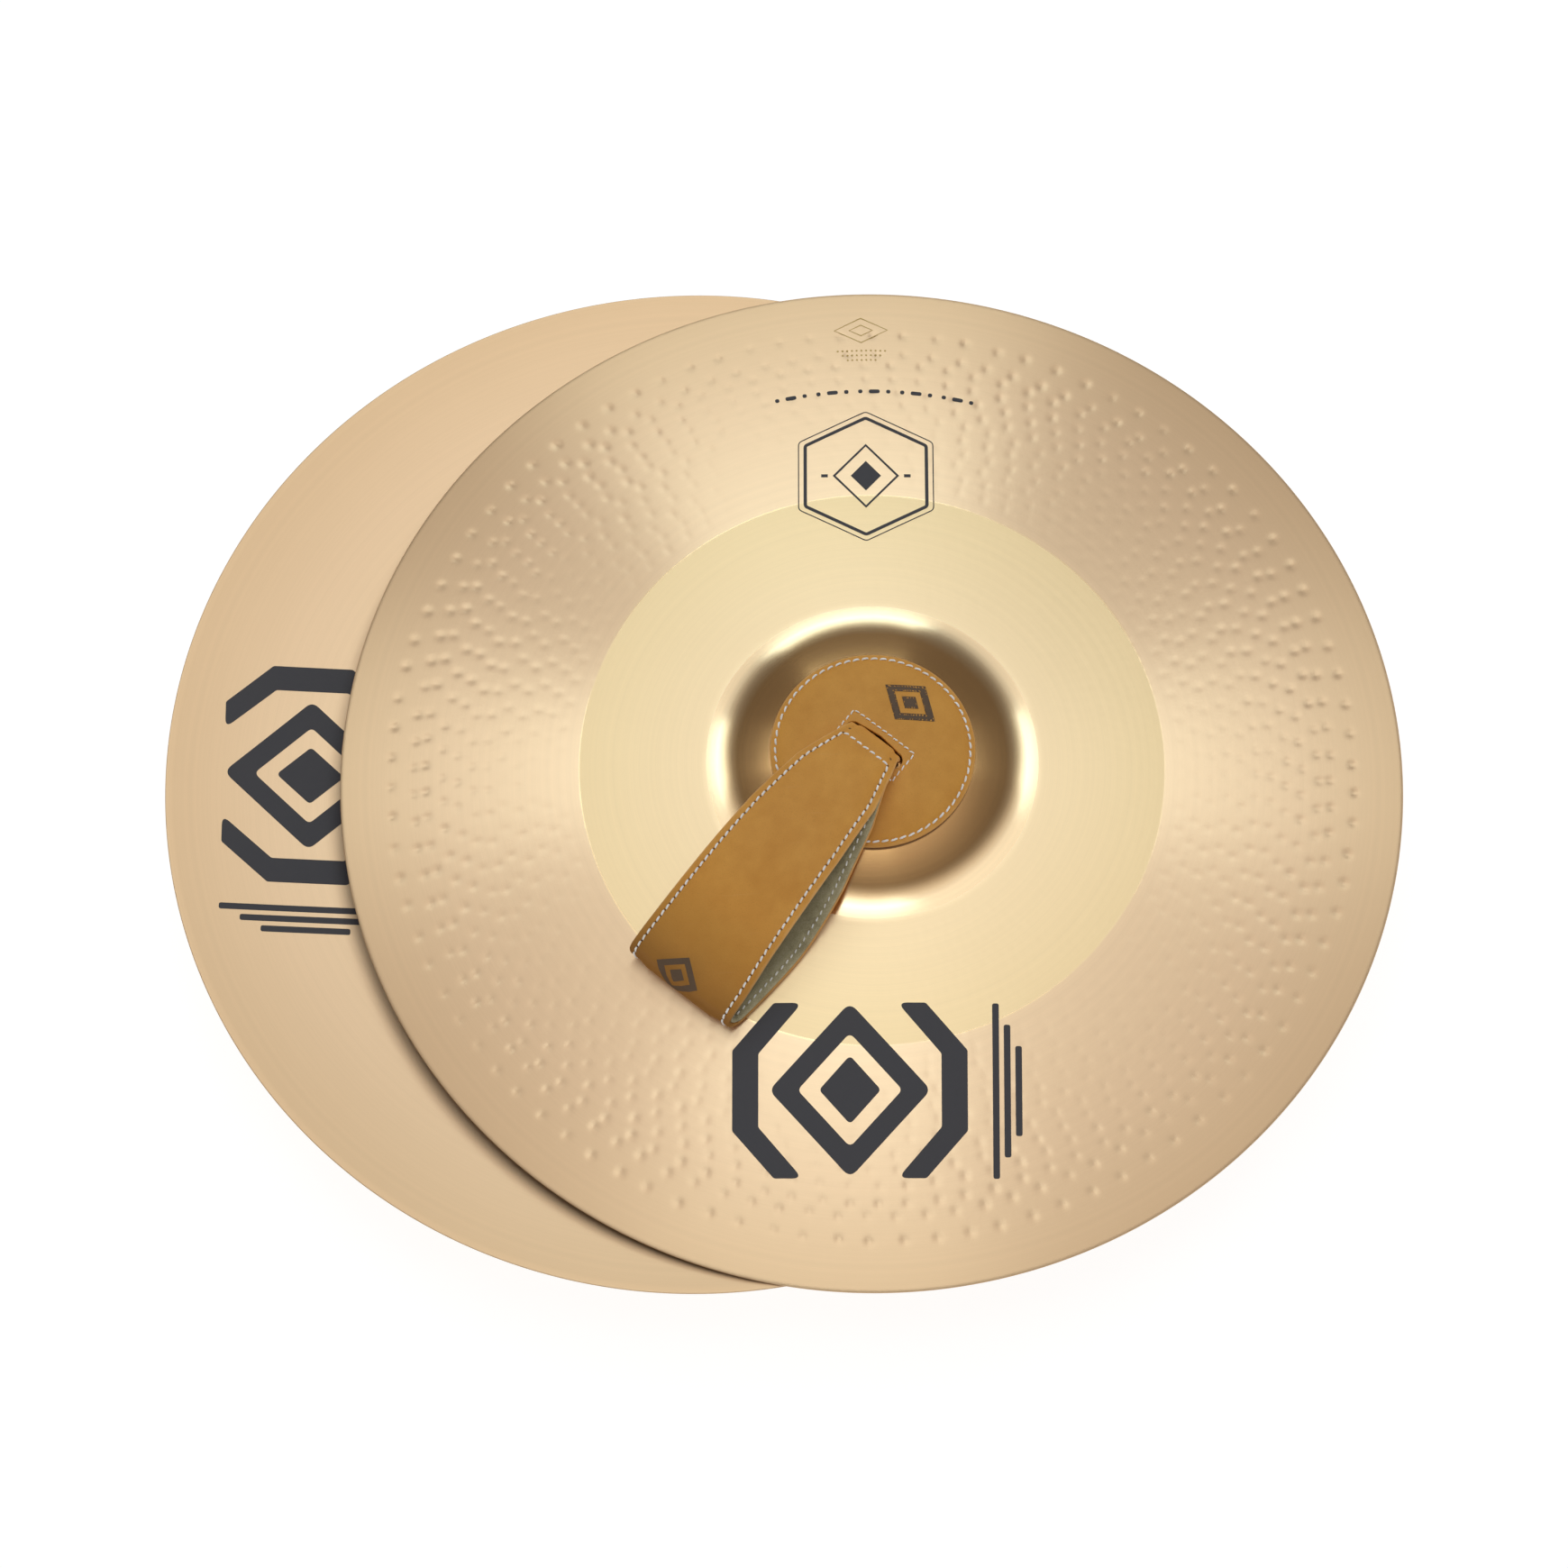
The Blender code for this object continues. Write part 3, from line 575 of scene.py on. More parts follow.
def mesh_from_arrays(name, verts, bands, materials, slots):
    mesh = bpy.data.meshes.new(name)
    mesh.vertices.add(len(verts))
    mesh.vertices.foreach_set("co", verts.ravel())
    corners = np.concatenate([band.ravel() for band in bands])
    sizes = np.concatenate([np.full(len(band), band.shape[1]) for band in bands])
    mesh.loops.add(len(corners))
    mesh.loops.foreach_set("vertex_index", corners)
    mesh.polygons.add(len(sizes))
    mesh.polygons.foreach_set("loop_start", np.concatenate([[0], np.cumsum(sizes)[:-1]]))
    mesh.update(calc_edges=True)
    mesh.polygons.foreach_set("use_smooth", np.ones(len(sizes), dtype=bool))
    for each in materials:
        mesh.materials.append(each)
    mesh.polygons.foreach_set("material_index", slots)
    return mesh


plate_verts, plate_bands, plate_slots = cymbal_mesh()
for side in ("front", "rear"):
    name = f"{side}_hammered_cymbal"
    plate = add_object(name, mesh_from_arrays(name, plate_verts, plate_bands,
                                              [bronze, inner_bronze, hollow_bronze], plate_slots))
    plate.matrix_world = placing(side)
    stand_in(plate, f"{side}_cymbal", f"{side}_cymbal")

# ---- leather strips
WIDTHS = ((0.0, 26.5), (0.06, 31.8), (0.19, 41.5), (0.39, 47.0), (0.58, 49.7), (0.76, 51.7), (0.9, 53.6),
          (1.0, 54.0))  # share of the way from the root to the fold, width
FOLD_R = 6.8
SQUASHED_HALF, SQUASHED_HEIGHT = 52.0, 20.4


def smooth_run(controls, spacing):
    """A smooth line through control points, resampled to an even spacing."""
    ends = [controls[0], *controls, controls[-1]]
    dense = []
    for p0, p1, p2, p3 in zip(ends, ends[1:], ends[2:], ends[3:]):
        a, b, c, d = (np.array(p, dtype=float) for p in (p0, p1, p2, p3))
        for t in np.arange(24) / 24:
            dense.append(0.5 * (2 * b + (c - a) * t + (2 * a - 5 * b + 4 * c - d) * t * t
                                + (3 * b - a - 3 * c + d) * t**3))
    dense.append(np.array(controls[-1], dtype=float))
    return evenly(np.array(dense), spacing)


def lengths_of(line):
    return np.concatenate([[0.0], np.cumsum(np.linalg.norm(np.diff(line, axis=0), axis=1))])


def at_length(s, lengths, values):
    """The values at distance s, where lengths gives the distance of each row of values."""
    return np.array([np.interp(s, lengths, column) for column in values.T])


def evenly(line, spacing):
    lengths = lengths_of(line)
    count = max(4, round(lengths[-1] / spacing))
    return at_length(np.linspace(0.0, lengths[-1], count + 1), lengths, line).T


def inward(line):
    """The direction to the inside of a loop that is run clockwise, at each point of it."""
    along = np.gradient(line, axis=0)
    along /= np.linalg.norm(along, axis=1)[:, None]
    return np.stack([along[:, 1], -along[:, 0]], axis=1)


class Strip:
    """A strap's centre line in its own upright plane, with its width and where its seams run."""

    def __init__(self, line, root_trim, bulge=0.0):
        self.line = line
        self.bulge = bulge
        self.inside = inward(line)
        self.at = lengths_of(line)
        self.total = self.at[-1]
        self.root_trim = root_trim

    def half(self, s):
        share = 1.0 - np.abs(2.0 * (s - self.root_trim) / (self.total - 2 * self.root_trim) - 1.0)
        share = np.clip(share, 0.0, 1.0)
        return np.interp(share, *zip(*WIDTHS)) / 2

    def sway(self, s):
        """How far the leg that comes back under the loop has slipped sideways."""
        t = np.clip((s - self.total / 2) / (self.total / 2 - self.root_trim), 0.0, 1.0)
        return self.bulge * np.sin(math.pi * t**0.85) ** 1.3

    def point(self, s, deep):
        return at_length(s, self.at, self.line) + at_length(s, self.at, self.inside) * deep


def edge_curl(across, half):
    """How far the leather draws in towards the loop beside its stitched edges, in mm."""
    t = np.clip((np.abs(across) / half - 0.60) / 0.22, 0.0, 1.0)
    return 1.0 * t * t * (3 - 2 * t)


EDGE_STEPS = (0.0, 0.18, 0.55, 1.1, 1.9, 2.5, 2.85, 3.2, 3.55, 3.9, 4.6, 5.8)  # in from the edge, mm
EDGE_ROUND = 1.1
INNER_COLUMNS = 9


def cross_section(half, thick):
    """Points round a strip's section: (across, deep, share of the seam's channel, which face)."""
    cols = [half - e for e in EDGE_STEPS]
    middle = list(np.linspace(cols[-1], -cols[-1], INNER_COLUMNS + 2)[1:-1])
    across = cols + middle + [-c for c in reversed(cols)]
    points = []
    for face in (-1, 1):
        run = across if face < 0 else list(reversed(across))
        for v in run:
            e = half - abs(v)
            t = max(0.0, 1.0 - e / EDGE_ROUND)
            fall = thick / 2 * (1 - math.sqrt(max(0.0, 1 - t * t))) * 0.96
            channel = math.exp(-((e - SEAM_INSET) / 0.55) ** 2)
            points.append((v, face * (thick / 2 - fall), channel, face))
    return points


def tube_faces(rows, around, base=0):
    """The faces of a closed tube of rows rings, each of around points, with a face over each end."""
    faces = []
    for i in range(rows - 1):
        low = base + i * around
        for j in range(around):
            k = (j + 1) % around
            faces.append((low + j, low + k, low + around + k, low + around + j))
    faces.append(tuple(base + j for j in reversed(range(around))))
    faces.append(tuple(base + (rows - 1) * around + j for j in range(around)))
    return faces


def strip_mesh(strip, s_from, s_to, offset, thick, inset, channel_deep):
    """A closed strip of leather with rounded edges and a pinched seam channel by each edge."""
    stations = np.linspace(s_from, s_to, round((s_to - s_from) / 1.1) + 1)
    rings, lay = [], []
    for s in stations:
        half = strip.half(s) - inset
        pinch = 0.55 + 0.45 * math.cos(2 * math.pi * s / STITCH_PITCH)
        ring = []
        for v, deep, channel, face in cross_section(half, thick):
            deep = deep - face * channel * channel_deep * pinch
            p = strip.point(s, offset + deep + edge_curl(v, half + inset))
            ring.append((p[0], v + strip.sway(s), p[1]))
            lay.append((s * MM, abs(s - strip.total / 2) * MM, (half - abs(v)) * MM))
        rings.append(ring)
    verts = [p for ring in rings for p in ring]
    return verts, tube_faces(len(rings), len(rings[0])), lay


STITCH_SLANT = 0.22
STITCH_SIDES, STITCH_ROWS = 7, 7


def stitch_mesh(track, pitch, radius, fill, rng):
    """Separate stitches along a track of (point, outward direction, distance along or None), in mm."""
    points = np.array([p for p, _, _ in track], dtype=float)
    outs = np.array([o for _, o, _ in track], dtype=float)
    at = lengths_of(points)
    if track[0][2] is not None:
        at = np.array([s for _, _, s in track]) - track[0][2]
    count = max(1, round(at[-1] / pitch))
    step = at[-1] / count
    verts, faces = [], []
    for i in range(count):
        s0 = (i + 0.5 - fill / 2) * step
        s1 = (i + 0.5 + fill / 2) * step
        jig = rng.uniform(-0.06, 0.06)
        lean = STITCH_SLANT * rng.uniform(0.7, 1.3)
        base = len(verts)
        for k in range(STITCH_ROWS):
            t = k / (STITCH_ROWS - 1)
            s = s0 + (s1 - s0) * t
            out = at_length(s, at, outs)
            out /= np.linalg.norm(out)
            ahead = at_length(min(s + 0.2, at[-1]), at, points) - at_length(max(s - 0.2, 0.0), at, points)
            ahead /= np.linalg.norm(ahead)
            side = np.cross(out, ahead)
            end = abs(2 * t - 1)
            rise = 0.28 * (1 - end**2.5) - 0.30 * end**6
            r = radius * (1 - 0.45 * end**5)
            middle = at_length(s, at, points) + out * rise + side * ((t - 0.5) * 2 * lean + jig)
            for j in range(STITCH_SIDES):
                a = 2 * math.pi * j / STITCH_SIDES
                verts.append(middle + (side * math.cos(a) + out * math.sin(a) * 0.85) * r)
        faces += tube_faces(STITCH_ROWS, STITCH_SIDES, base)
    return verts, faces


def strip_seam(strip, s_from, s_to, deep, face):
    """The track of a seam round a strip's edges: up one edge, across, down the other, across."""
    def spot(s, across):
        half = strip.half(s)
        p = strip.point(s, deep + edge_curl(across, half))
        side = strip.point(s, 1.0) - strip.point(s, 0.0)
        out = side * (-1.0 if face < 0 else 1.0)
        return (p[0], across + strip.sway(s), p[1]), (out[0], 0.0, out[1])

    tracks = []
    first = math.ceil(s_from / STITCH_PITCH) * STITCH_PITCH
    last = math.floor(s_to / STITCH_PITCH) * STITCH_PITCH
    stations = np.linspace(first, last, round((last - first) / 0.8))
    for hand in (1, -1):
        tracks.append([(*spot(s, hand * (strip.half(s) - SEAM_INSET)), s) for s in stations])
    for s in (stations[0], stations[-1]):
        reach = strip.half(s) - SEAM_INSET
        tracks.append([(*spot(s, v), None) for v in np.linspace(-reach, reach, 40)])
    return tracks


def stitched(name, tracks, pitch, matrix, body, replaced, radius=0.48, fill=0.78):
    rng = random.Random(len(name) * 7 + 3)
    verts, faces = [], []
    for track in tracks:
        more, hooks = stitch_mesh(track, pitch, radius, fill, rng)
        base = len(verts)
        verts += more
        faces += [tuple(base + i for i in f) for f in hooks]
    stand_in(add_mesh(name, verts, faces, thread, matrix), body, replaced)


# ---- the straps' own lines
ROOT = LEATHER_T / 2 + 0.15
FREE_TOP = ((20.0, 51.0), (45.0, 53.4), (70.0, 51.2), (98.0, 43.6), (117.0, 35.4))  # out, over the rim plane
FREE_BACK = ((73.0, 27.8), (58.0, 33.6), (43.7, 39.3), (25.0, 43.0))


def front_strip():
    """From inside the slot, over the top, the far fold, and back under into the slot."""
    upper = [(-2.2, -6.0), (-2.2, -3.2), (-2.0, -1.4), (-0.9, 0.4), (1.6, ROOT + 0.35), (6.0, ROOT + 1.0)]
    upper += [(r, z - HINGE_Z) for r, z in FREE_TOP]
    rest = LEATHER_T / 2 + 0.4
    low = outer_z(124.0) + rest - HINGE_Z
    fold = arc(124.7, low + FOLD_R, FOLD_R, FOLD_R, (60, 30, 0, -30, -60, -86))
    under = [(r, outer_z(r) + rest - HINGE_Z) for r in (112.0, 100.0, 88.0)]
    back = [(r, z - HINGE_Z) for r, z in FREE_BACK]
    back += [(6.0, -ROOT - 0.05), (2.0, -ROOT - 0.5), (-0.1, -2.9), (-0.45, -6.0)]
    return Strip(smooth_run(upper + fold + under + back, 0.5), root_trim=7.0, bulge=7.0)


def rear_strip():
    near = PAD_TOP + LEATHER_T / 2 + 1.3
    far = PAD_TOP + SQUASHED_HEIGHT - LEATHER_T / 2
    radius, rise = (far - near) / 2, 1.9
    out = [(ROOT, PAD_TOP - 1.6), (ROOT, near - rise)]
    out += arc(ROOT + rise, near - rise, -rise, rise, (15, 30, 45, 60, 75, 90))
    out += arc(SQUASHED_HALF, near + radius, radius, radius, np.linspace(-90, 90, 33))
    out.append((0.0, far))
    half = evenly(np.array(out), 0.5)
    first = half * np.array([-1.0, 1.0])
    return Strip(np.concatenate([first, half[::-1][1:]]), root_trim=2.0)


# where a strap's lining, its outer seam and its lining's seam start, in mm from its ends
STARTS = {"front": (16.0, 9.9, 23.1), "rear": (8.0, 16.5, 16.5)}


def build_strap(side, strip, matrix, body, root_body=None):
    s_end, name = strip.total, f"{side}_strap"
    lining_from, top_from, bobbin_from = STARTS[side]
    verts, faces, lay = strip_mesh(strip, 0.0, s_end, 0.0, LEATHER_T, 0.0, 0.32)
    outer = add_mesh(f"{name}_leather", verts, faces, leather, matrix)
    # where each point lies on its strip: along, from the fold, and in from the edge
    outer.data.attributes.new("lay", "FLOAT_VECTOR", "POINT").data.foreach_set("vector", np.ravel(lay))
    if root_body:
        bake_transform(outer)
    else:
        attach(outer, body)
    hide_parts(f"{side}_strap_outer")
    lining_off = LEATHER_T / 2 + 0.05 + LINING_T / 2
    verts, faces, _ = strip_mesh(strip, lining_from, s_end - lining_from, lining_off, LINING_T, 0.35, 0.4)
    stand_in(add_mesh(f"{name}_suede", verts, faces, suede, matrix), body, f"{side}_strap_lining")
    stitched(f"{name}_stitches", strip_seam(strip, top_from, s_end - top_from, -LEATHER_T / 2 + 0.05, -1),
             STITCH_PITCH, matrix, body, f"{side}_strap_top_thread")
    stitched(f"{name}_lining_stitches",
             strip_seam(strip, bobbin_from, s_end - bobbin_from, lining_off + LINING_T / 2 - 0.08, 1),
             STITCH_PITCH, matrix, body, f"{side}_strap_bobbin_thread", radius=0.36, fill=0.62)


hinge_frame = placing("front", STRAP_HEADING) @ Matrix.Translation((0.0, 0.0, HINGE_Z * MM))
front_strap_strip = front_strip()
build_strap("front", front_strap_strip, hinge_frame, "front_strap", "front_handle")
build_strap("rear", rear_strip(), placing("rear"), "rear_handle")

# ---- the pads


def pad_crown(r):
    """The pad's top face over the rim plane: domed like the bell, drawn down at its stitched edge."""
    edge = np.clip((r - 37.5) / 3.6, 0.0, 1.0)
    return PAD_TOP + cap(r) - BELL_APEX - 0.35 * edge * edge


def seam_dip(x, y):
    """The channel that the slot's stitched rectangle pulls into the leather."""
    dx, dy = abs(abs(x) - SLOT_SEAM_HALF_X), abs(abs(y) - SLOT_SEAM_HALF_Y)
    near = min(dx if abs(y) < SLOT_SEAM_HALF_Y + 0.3 else 99.0,
               dy if abs(x) < SLOT_SEAM_HALF_X + 0.3 else 99.0)
    return 0.22 * math.exp(-((near / 0.55) ** 2))


def stamp_depth(x, y):
    """The depth of the lozenge pressed into the pad's leather."""
    out, hole, core = (abs(x - PAD_STAMP[0]) / wide + abs(y - PAD_STAMP[1]) / tall
                       for wide, tall in PAD_STAMP_SIZES)
    inside = min((1.0 - out) * 8.2, (hole - 1.0) * 5.2)
    inside = max(inside, (1.0 - core) * 3.0)
    t = min(1.0, max(0.0, inside / 0.45))
    return 0.28 * t * t * (3 - 2 * t)


def disc(name, low, high, rim, edge_round, material, ring_step, top_face, dip):
    """A round of leather or felt that follows the bell, from low to high over the bell's dome."""
    around = 192
    flat = rim - edge_round
    top = [(r, top_face(r) if top_face else high + cap(r) - BELL_APEX)
           for r in np.linspace(0.0, flat, int(rim / ring_step))]
    shoulder_top, shoulder_low = top[-1][1], low + cap(flat) - BELL_APEX
    middle = (shoulder_top + shoulder_low) / 2
    edge = arc(flat, middle, edge_round, (shoulder_top - shoulder_low) / 2, (75, 52, 28, 0, -28, -52, -75))
    bottom = [(r, low + cap(r) - BELL_APEX) for r in np.linspace(flat, 0.0, 12)]
    profile = top + edge + bottom
    verts = [(0.0, 0.0, profile[0][1])]
    for r, z in profile[1:-1]:
        for j in range(around):
            a = 2 * math.pi * j / around
            x, y = polar(r, a)
            verts.append((x, y, z - (dip(x, y, a, r) if dip and z > middle else 0.0)))
    verts.append((0.0, 0.0, profile[-1][1]))
    faces = []
    rows = len(profile) - 2
    for j in range(around):
        k = (j + 1) % around
        faces.append((0, 1 + j, 1 + k))
        for i in range(rows - 1):
            a, b = 1 + i * around, 1 + (i + 1) * around
            faces.append((a + j, b + j, b + k, a + k))
        faces.append((1 + (rows - 1) * around + j, len(verts) - 1, 1 + (rows - 1) * around + k))
    return add_mesh(name, verts, faces, material)


def cut_slot(obj, half_long, half_wide, bow_out):
    """Cuts the strap's slot through a pad layer; its far side is bowed out by bow_out mm."""
    outline = []
    for i in range(40):
        a = 2 * math.pi * i / 40
        c, s = math.cos(a), math.sin(a)
        x = math.copysign(min(1.0, abs(c) ** 0.8), c) * half_wide
        y = s * half_wide + math.copysign(half_long - half_wide, s) * min(1.0, abs(s) * 12)
        outline.append((x - bow_out * (1.0 - (y / half_long) ** 2) * (1.0 if x < 0 else 0.0), y))
    mesh = bpy.data.meshes.new("slot_tool")
    mesh.from_pydata([Vector((x, y, z)) * MM for z in (24.0, 52.0) for x, y in outline], [],
                     tube_faces(2, len(outline)))
    tool = add_object("slot_tool", mesh)
    cut = obj.modifiers.new("slot", "BOOLEAN")
    cut.operation, cut.solver, cut.object = "DIFFERENCE", "EXACT", tool
    shaped = evaluated(obj)
    obj.modifiers.clear()
    old, obj.data = obj.data, shaped
    bpy.data.meshes.remove(old)
    bpy.data.objects.remove(tool)
    bpy.data.meshes.remove(mesh)
    obj.data.polygons.foreach_set("use_smooth", [True] * len(obj.data.polygons))


def build_pad(side, heading):
    body = f"{side}_handle"
    at = placing(side, heading)
    layers = (
        ("base_leather", PAD_TOP - 4.85, PAD_TOP - 3.55, 43.5, 0.5, leather_base, "leather", None),
        ("felt", PAD_TOP - 3.5, PAD_TOP - 2.05, 43.1, 0.35, felt, "felt", None),
        ("top_leather", PAD_TOP - 2.0, PAD_TOP, PAD_R, 0.95, pad_leather, "leather", pad_crown))

    def top_dip(x, y, a, r):
        pinch = 0.6 + 0.4 * math.cos(a * round(2 * math.pi * PAD_SEAM_R / PAD_PITCH))
        ring = 0.26 * math.exp(-(((r - PAD_SEAM_R) / 0.6) ** 2)) * pinch
        return ring + seam_dip(x, y) + stamp_depth(x, y)

    for layer, low, high, rim, edge_round, material, slot, top_face in layers:
        made = disc(f"{side}_pad_{layer}_round", low, high, rim, edge_round, material,
                    0.55 if top_face else 2.0, top_face, top_dip if top_face else None)
        cut_slot(made, SLOT_HALF_LONG, SLOT_HALF_WIDE + (0.0 if top_face else 0.8),
                 SLOT_BOW if side == "front" else 0.0)
        made.matrix_world = at
        stand_in(made, body, f"{side}_pad_{layer}")

    def up(x, y):
        r = math.hypot(x, y)
        z = pad_crown(r) - seam_dip(x, y) * 0.4 + 0.02
        slope = r / math.sqrt(BELL_SPHERE_R**2 - r * r)
        return (x, y, z), (x / max(r, 1e-6) * slope, y / max(r, 1e-6) * slope, 1.0), None

    ring = [up(*polar(PAD_SEAM_R, a)) for a in np.linspace(0, 2 * math.pi, 361)]
    stitched(f"{side}_pad_edge_stitches", [ring], PAD_PITCH, at, body, f"{side}_pad_edge_thread")
    sx, sy = SLOT_SEAM_HALF_X, SLOT_SEAM_HALF_Y
    corners = [(sx, -sy), (sx, sy), (-sx, sy), (-sx, -sy), (sx, -sy)]
    tracks = []
    for (x0, y0), (x1, y1) in zip(corners, corners[1:]):
        tracks.append([up(x0 + (x1 - x0) * t, y0 + (y1 - y0) * t) for t in np.linspace(0, 1, 41)])
    stitched(f"{side}_pad_slot_stitches", tracks, SLOT_PITCH, at, body, f"{side}_pad_slot_thread",
             radius=0.36)


for side, heading in HEADINGS.items():
    build_pad(side, heading)

# ---- the knots


def thong(path, half_from, half_to, thick, v_shift, matrix, name, tip=0.0, curl=0.0):
    """A single thong along a path of (out, height), its width easing from one half-width to another."""
    line = smooth_run(path, 0.7)
    inside = inward(line)
    at = lengths_of(line)
    rings = []
    for i, p in enumerate(line):
        share = at[i] / at[-1]
        half = half_from + (half_to - half_from) * share
        if tip and at[-1] - at[i] < tip:
            half *= 0.45 + 0.55 * ((at[-1] - at[i]) / tip) ** 0.7
        ring = []
        for face in (-1, 1):
            columns = [half * c for c in (1, 0.985, 0.93, 0.8, 0.45, 0, -0.45, -0.8, -0.93, -0.985, -1)]
            for v in (columns if face < 0 else reversed(columns)):
                e = min(1.0, (half - abs(v)) / 0.7)
                deep = face * thick / 2 * math.sqrt(max(0.0, 1 - (1 - e) ** 2)) * (1 - 0.04)
                q = p + inside[i] * (deep + curl * (v / half) ** 2)
                ring.append((q[0], v + v_shift, q[1]))
        rings.append(ring)
    verts = [p for ring in rings for p in ring]
    return add_mesh(name, verts, tube_faces(len(rings), len(rings[0])), thong_leather, matrix)


THONG_T = 2.2
KNOT_TURN = {"front": math.radians(20.0), "rear": math.radians(52.0)}
KNOT_DROOP = {"front": 5.0, "rear": 0.0}
KNOT_FOLD = ((-8.0, 4.2), (-4.0, 3.9), (0.0, 2.2), (3.5, 1.15), (7.5, 1.3), (10.2, 2.6), (11.0, 4.6),
             (9.8, 6.4), (6.0, 7.0), (2.4, 8.4))  # out, over the knot's face


def build_knot(side, heading):
    """A crown knot: each of the four thongs folds over the next and its end runs out beside it."""
    top = inner_z(12.5) - 0.4
    face = top - 9.0
    pieces = []
    for i in range(4):
        matrix = placing(side, heading + KNOT_TURN[side] + math.pi / 2 * i)
        fold = [(r, face + z) for r, z in KNOT_FOLD] + [(2.0, top + 1.5)]
        pieces.append(thong(fold, 4.6, 4.4, THONG_T, 4.75, matrix, f"{side}_knot_fold_{i}"))
        run = [(3.0, top - 3.4), (7.0, top - 3.6)]
        for r in (13.0, 19.0, 26.0, 33.0, 39.0):
            share = (r - 7.5) / 34.5
            lie = inner_z(math.hypot(r, 9.0)) - THONG_T / 2 - 0.6 - KNOT_DROOP[side] * share
            run.append((r, min(top - 3.8, lie)))
        pieces.append(thong(run, 4.3, 3.3, THONG_T * 0.9, -4.6, matrix, f"{side}_knot_end_{i}",
                            tip=7.0, curl=-0.25))
    for piece in pieces:
        stand_in(piece, f"{side}_handle", f"{side}_knot")
    tails = frame["nodes"][f"{side}_strap_tails"]
    tails.data.materials.clear()
    tails.data.materials.append(thong_leather)


for side, heading in HEADINGS.items():
    build_knot(side, heading)

# ---- printed marks


def turned_outline(points, angle, cx, cy):
    c, s = math.cos(angle), math.sin(angle)
    return [(cx + x * c - y * s, cy + x * s + y * c) for x, y in points]


def moved(shapes, angle, cx, cy):
    return [turned_outline(shape, angle, cx, cy) for shape in shapes]


def decal(name, body, matrix, lay, loops, cell, material, height, deep):
    """A print or stamp: flat outlines (holes included) laid on a curved face as a thin skin."""
    curve = bpy.data.curves.new(f"{name}_outline", "CURVE")
    curve.dimensions = "2D"
    curve.fill_mode = "BOTH"
    for loop in loops:
        run = curve.splines.new("POLY")
        run.points.add(len(loop) - 1)
        for point, (x, y) in zip(run.points, loop):
            point.co = (x * MM, y * MM, 0.0, 1.0)
        run.use_cyclic_u = True
    holder = add_object(f"{name}_outline", curve)
    flat = evaluated(holder)
    bpy.data.objects.remove(holder)
    bpy.data.curves.remove(curve)
    bm = bmesh.new()
    bm.from_mesh(flat)
    bpy.data.meshes.remove(flat)
    bmesh.ops.remove_doubles(bm, verts=bm.verts, dist=1e-7)
    spreads = zip(*(point for loop in loops for point in loop))
    for normal, spread in zip((Vector((1, 0, 0)), Vector((0, 1, 0))), spreads):
        for at in np.arange(math.floor(min(spread)) + cell, max(spread), cell):
            bmesh.ops.bisect_plane(bm, geom=bm.verts[:] + bm.edges[:] + bm.faces[:], dist=1e-8,
                                   plane_co=normal * at * MM, plane_no=normal)
    bmesh.ops.triangulate(bm, faces=[f for f in bm.faces if len(f.verts) > 4])
    grown = bmesh.ops.extrude_face_region(bm, geom=bm.faces[:])
    tops = {g for g in grown["geom"] if isinstance(g, bmesh.types.BMVert)}
    for v in bm.verts:
        v.co = Vector(lay(v.co.x / MM, v.co.y / MM, height if v in tops else height - deep)) * MM
    bmesh.ops.recalc_face_normals(bm, faces=bm.faces)
    mesh = bpy.data.meshes.new(name)
    bm.to_mesh(mesh)
    bm.free()
    mesh.materials.append(material)
    made = add_object(name, mesh)
    made.matrix_world = matrix
    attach(made, body)


def lozenge(half_x, half_y):
    return [(half_x, 0.0), (0.0, half_y), (-half_x, 0.0), (0.0, -half_y)]


def corners(points):
    """Each point of a closed outline, between its neighbours."""
    return [[Vector(points[(i + k) % len(points)]) for k in (-1, 0, 1)] for i in range(len(points))]


def rounded(points, radius, steps=6):
    """An outline with its corners rounded."""
    out = []
    for p0, p1, p2 in corners(points):
        a, b = (p0 - p1).normalized(), (p2 - p1).normalized()
        half = a.angle(b) / 2
        reach = min(radius / math.tan(half), (p0 - p1).length / 2.05, (p2 - p1).length / 2.05)
        s, e = p1 + a * reach, p1 + b * reach
        for k in range(steps + 1):
            t = k / steps
            q = s * (1 - t) ** 2 + p1 * 2 * t * (1 - t) + e * t**2
            out.append((q.x, q.y))
    return out


def bar(x0, y0, x1, y1):
    return [(x0, y0), (x1, y0), (x1, y1), (x0, y1)]


def big_mark():
    """A bold sign of two nested lozenges between a pair of chevrons, with three plain bars beside it."""
    sizes = ((34.0, 37.0, 4.0), (22.0, 24.0, 2.5), (13.0, 14.5, 2.0))
    shapes = [rounded(lozenge(half_x, half_y), radius) for half_x, half_y, radius in sizes]
    for hand in (-1, 1):
        chevron = [(20.0, 37.0), (32.0, 37.0), (49.5, 17.0), (49.5, -17.0), (32.0, -37.0), (20.0, -37.0),
                   (38.5, -15.5), (38.5, 15.5)]
        shapes.append(rounded([(hand * x, y) for x, y in chevron][::hand], 2.0))
    for i, tall in enumerate((37.0, 28.0, 19.0)):
        x = 60.0 + 4.8 * i
        shapes.append(rounded(bar(x, -tall, x + 2.8, tall), 1.0))
    return shapes


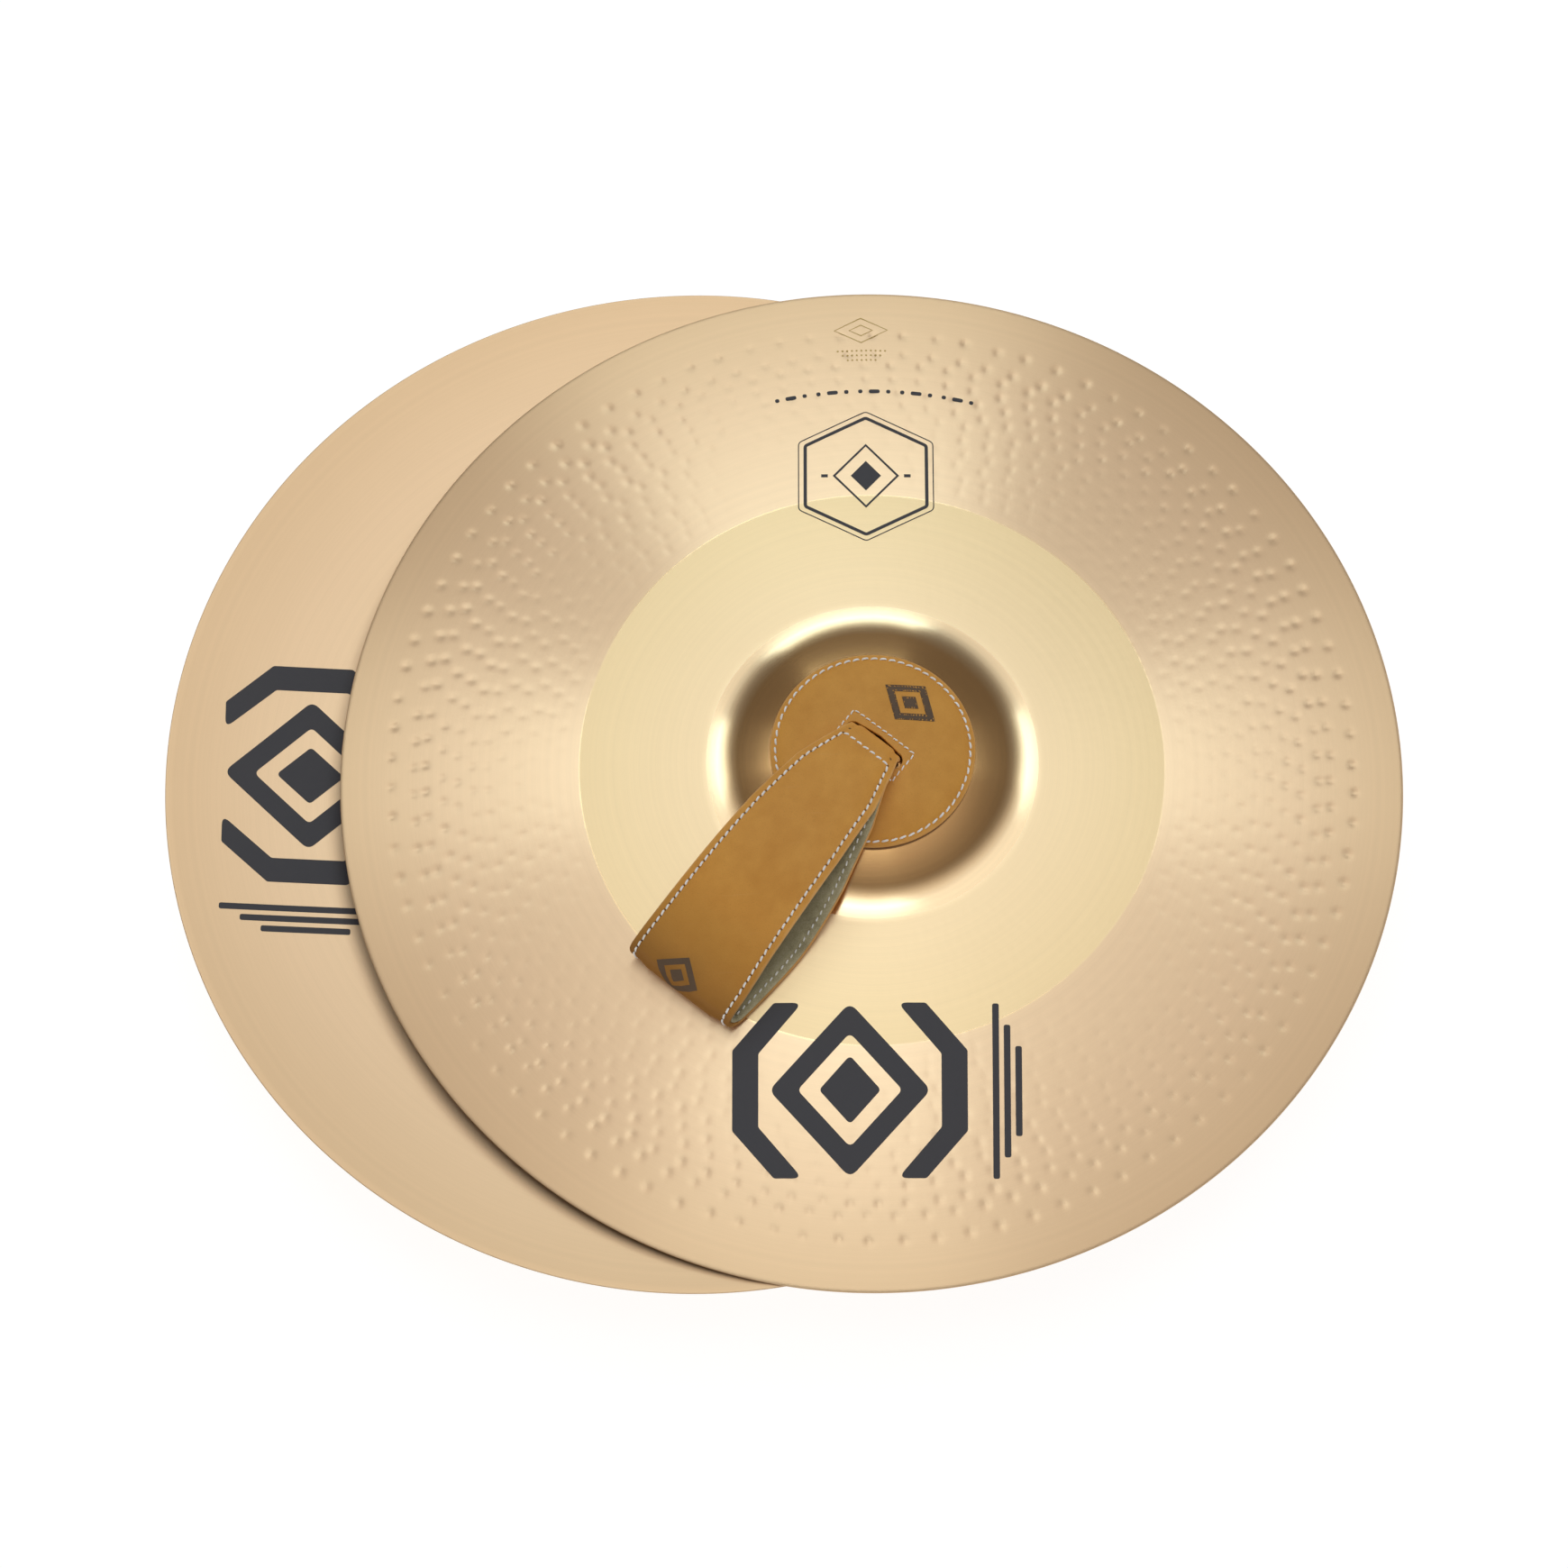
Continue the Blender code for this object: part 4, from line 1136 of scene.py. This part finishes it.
def band_outline(points, wide):
    """Two outlines, one wide inside the other, for a drawn line of an even width."""
    centre = Vector([sum(values) / len(points) for values in zip(*points)])
    inner = []
    for p0, p1, p2 in corners(points):
        a, b = p1 - p0, p2 - p1
        normal = Vector((-a.y, a.x)).normalized() + Vector((-b.y, b.x)).normalized()
        normal = normal.normalized() if normal.length > 1e-9 else centre - p1
        if normal.dot(centre - p1) < 0:
            normal = -normal
        q = p1 + normal * wide
        inner.append((q.x, q.y))
    return [points, inner]


def hexagon(half_x, half_y):
    return [(0.0, half_y), (half_x, half_y * 0.52), (half_x, -half_y * 0.52), (0.0, -half_y),
            (-half_x, -half_y * 0.52), (-half_x, half_y * 0.52)]


def on_outer(x, y, lift):
    return x, y, outer_z(math.hypot(x, y)) + lift


def on_hollow(x, y, lift):
    return x, y, inner_z(math.hypot(x, y)) - lift


def printed(name, side, loops, cell, material):
    decal(name, f"{side}_cymbal", placing(side), on_outer if side == "front" else on_hollow, loops, cell,
          material, 0.05, 0.035)


def pressed(name, body, matrix, lay, loops, cell):
    decal(name, body, matrix, lay, loops, cell, stamped, 0.03, 0.025)


BIG_MARK = big_mark()
printed("front_bow_sign", "front", moved(BIG_MARK, 0.0, -10.0, -144.0), 2.0, ink)
printed("rear_bow_sign", "rear", moved(BIG_MARK, math.pi / 2, -167.0, -4.9), 2.0, ink)

badge = band_outline(rounded(hexagon(29.6, 32.6), 3.0), 0.5)
badge += band_outline(rounded(hexagon(27.2, 30.0), 2.6), 1.5)
badge += band_outline(lozenge(14.5, 16.0), 1.3) + [lozenge(6.6, 7.4)]
badge += [bar(-19.5, -0.75, -16.6, 0.75), bar(16.6, -0.75, 19.5, 0.75)]
printed("front_badge", "front", moved(badge, 0.0, -2.0, 135.2), 3.0, ink)

row = []
for i in range(15):
    angle = math.pi / 2 - (i - 7) * 0.0345 - 0.011
    half = 2.4 if i % 3 == 1 else 0.95
    dash = rounded(bar(-half, -0.95, half, 0.95), 0.9, 4)
    row.append(turned_outline(dash, angle - math.pi / 2, *polar(178.0, angle)))
printed("front_dash_row", "front", row, 4.0, ink)

stamp = band_outline(lozenge(12.0, 6.6), 0.55) + band_outline(lozenge(5.4, 3.0), 0.5)
stamp = moved(stamp, 0.0, 0.0, 209.5)
dot = [polar(0.45, 2 * math.pi * i / 10) for i in range(10)]
for line, reach in ((199.0, 5), (196.6, 4), (194.2, 3)):
    for i in range(-reach, reach + 1):
        stamp.append(turned_outline(dot, 0.0, *polar(line, math.pi / 2 - i * 0.0105)))
stamp = moved(stamp, 0.018, 0.0, 0.0)
printed("front_rim_stamp", "front", stamp, 4.0, gold_ink)


def on_pad(x, y, lift):
    return x, y, pad_crown(math.hypot(x, y)) - stamp_depth(x, y) + lift


stamp_shape = [lozenge(*size) for size in PAD_STAMP_SIZES]
for side, heading in HEADINGS.items():
    pressed(f"{side}_pad_stamp", f"{side}_handle", placing(side, heading), on_pad,
            moved(stamp_shape, 0.0, *PAD_STAMP), 0.7)


def on_front_strap(s, v, lift):
    p = front_strap_strip.point(s, -LEATHER_T / 2 - lift)
    return p[0], v, p[1]


fold_at = front_strap_strip.total / 2 - 4.5
strap_stamp = [lozenge(9.0, 11.0), lozenge(5.6, 6.9), lozenge(3.0, 3.8)]
pressed("front_strap_stamp", "front_strap", hinge_frame, on_front_strap,
        moved(strap_stamp, 0.0, fold_at, -2.5), 0.8)

# ---- stage
floor_mesh = bpy.data.meshes.new("floor")
floor_mesh.from_pydata([(x, y, 0.0) for x, y in bar(-6.0, -6.0, 6.0, 6.0)], [], [(0, 1, 2, 3)])
floor = add_object("floor", floor_mesh)
floor.location.z = -0.0005
floor_mesh.materials.append(Shader("floor").set(Base_Color=(0.26, 0.26, 0.26), Roughness=0.9,
                                                Emission_Color=(1.0, 1.0, 1.0), Emission_Strength=0.87))
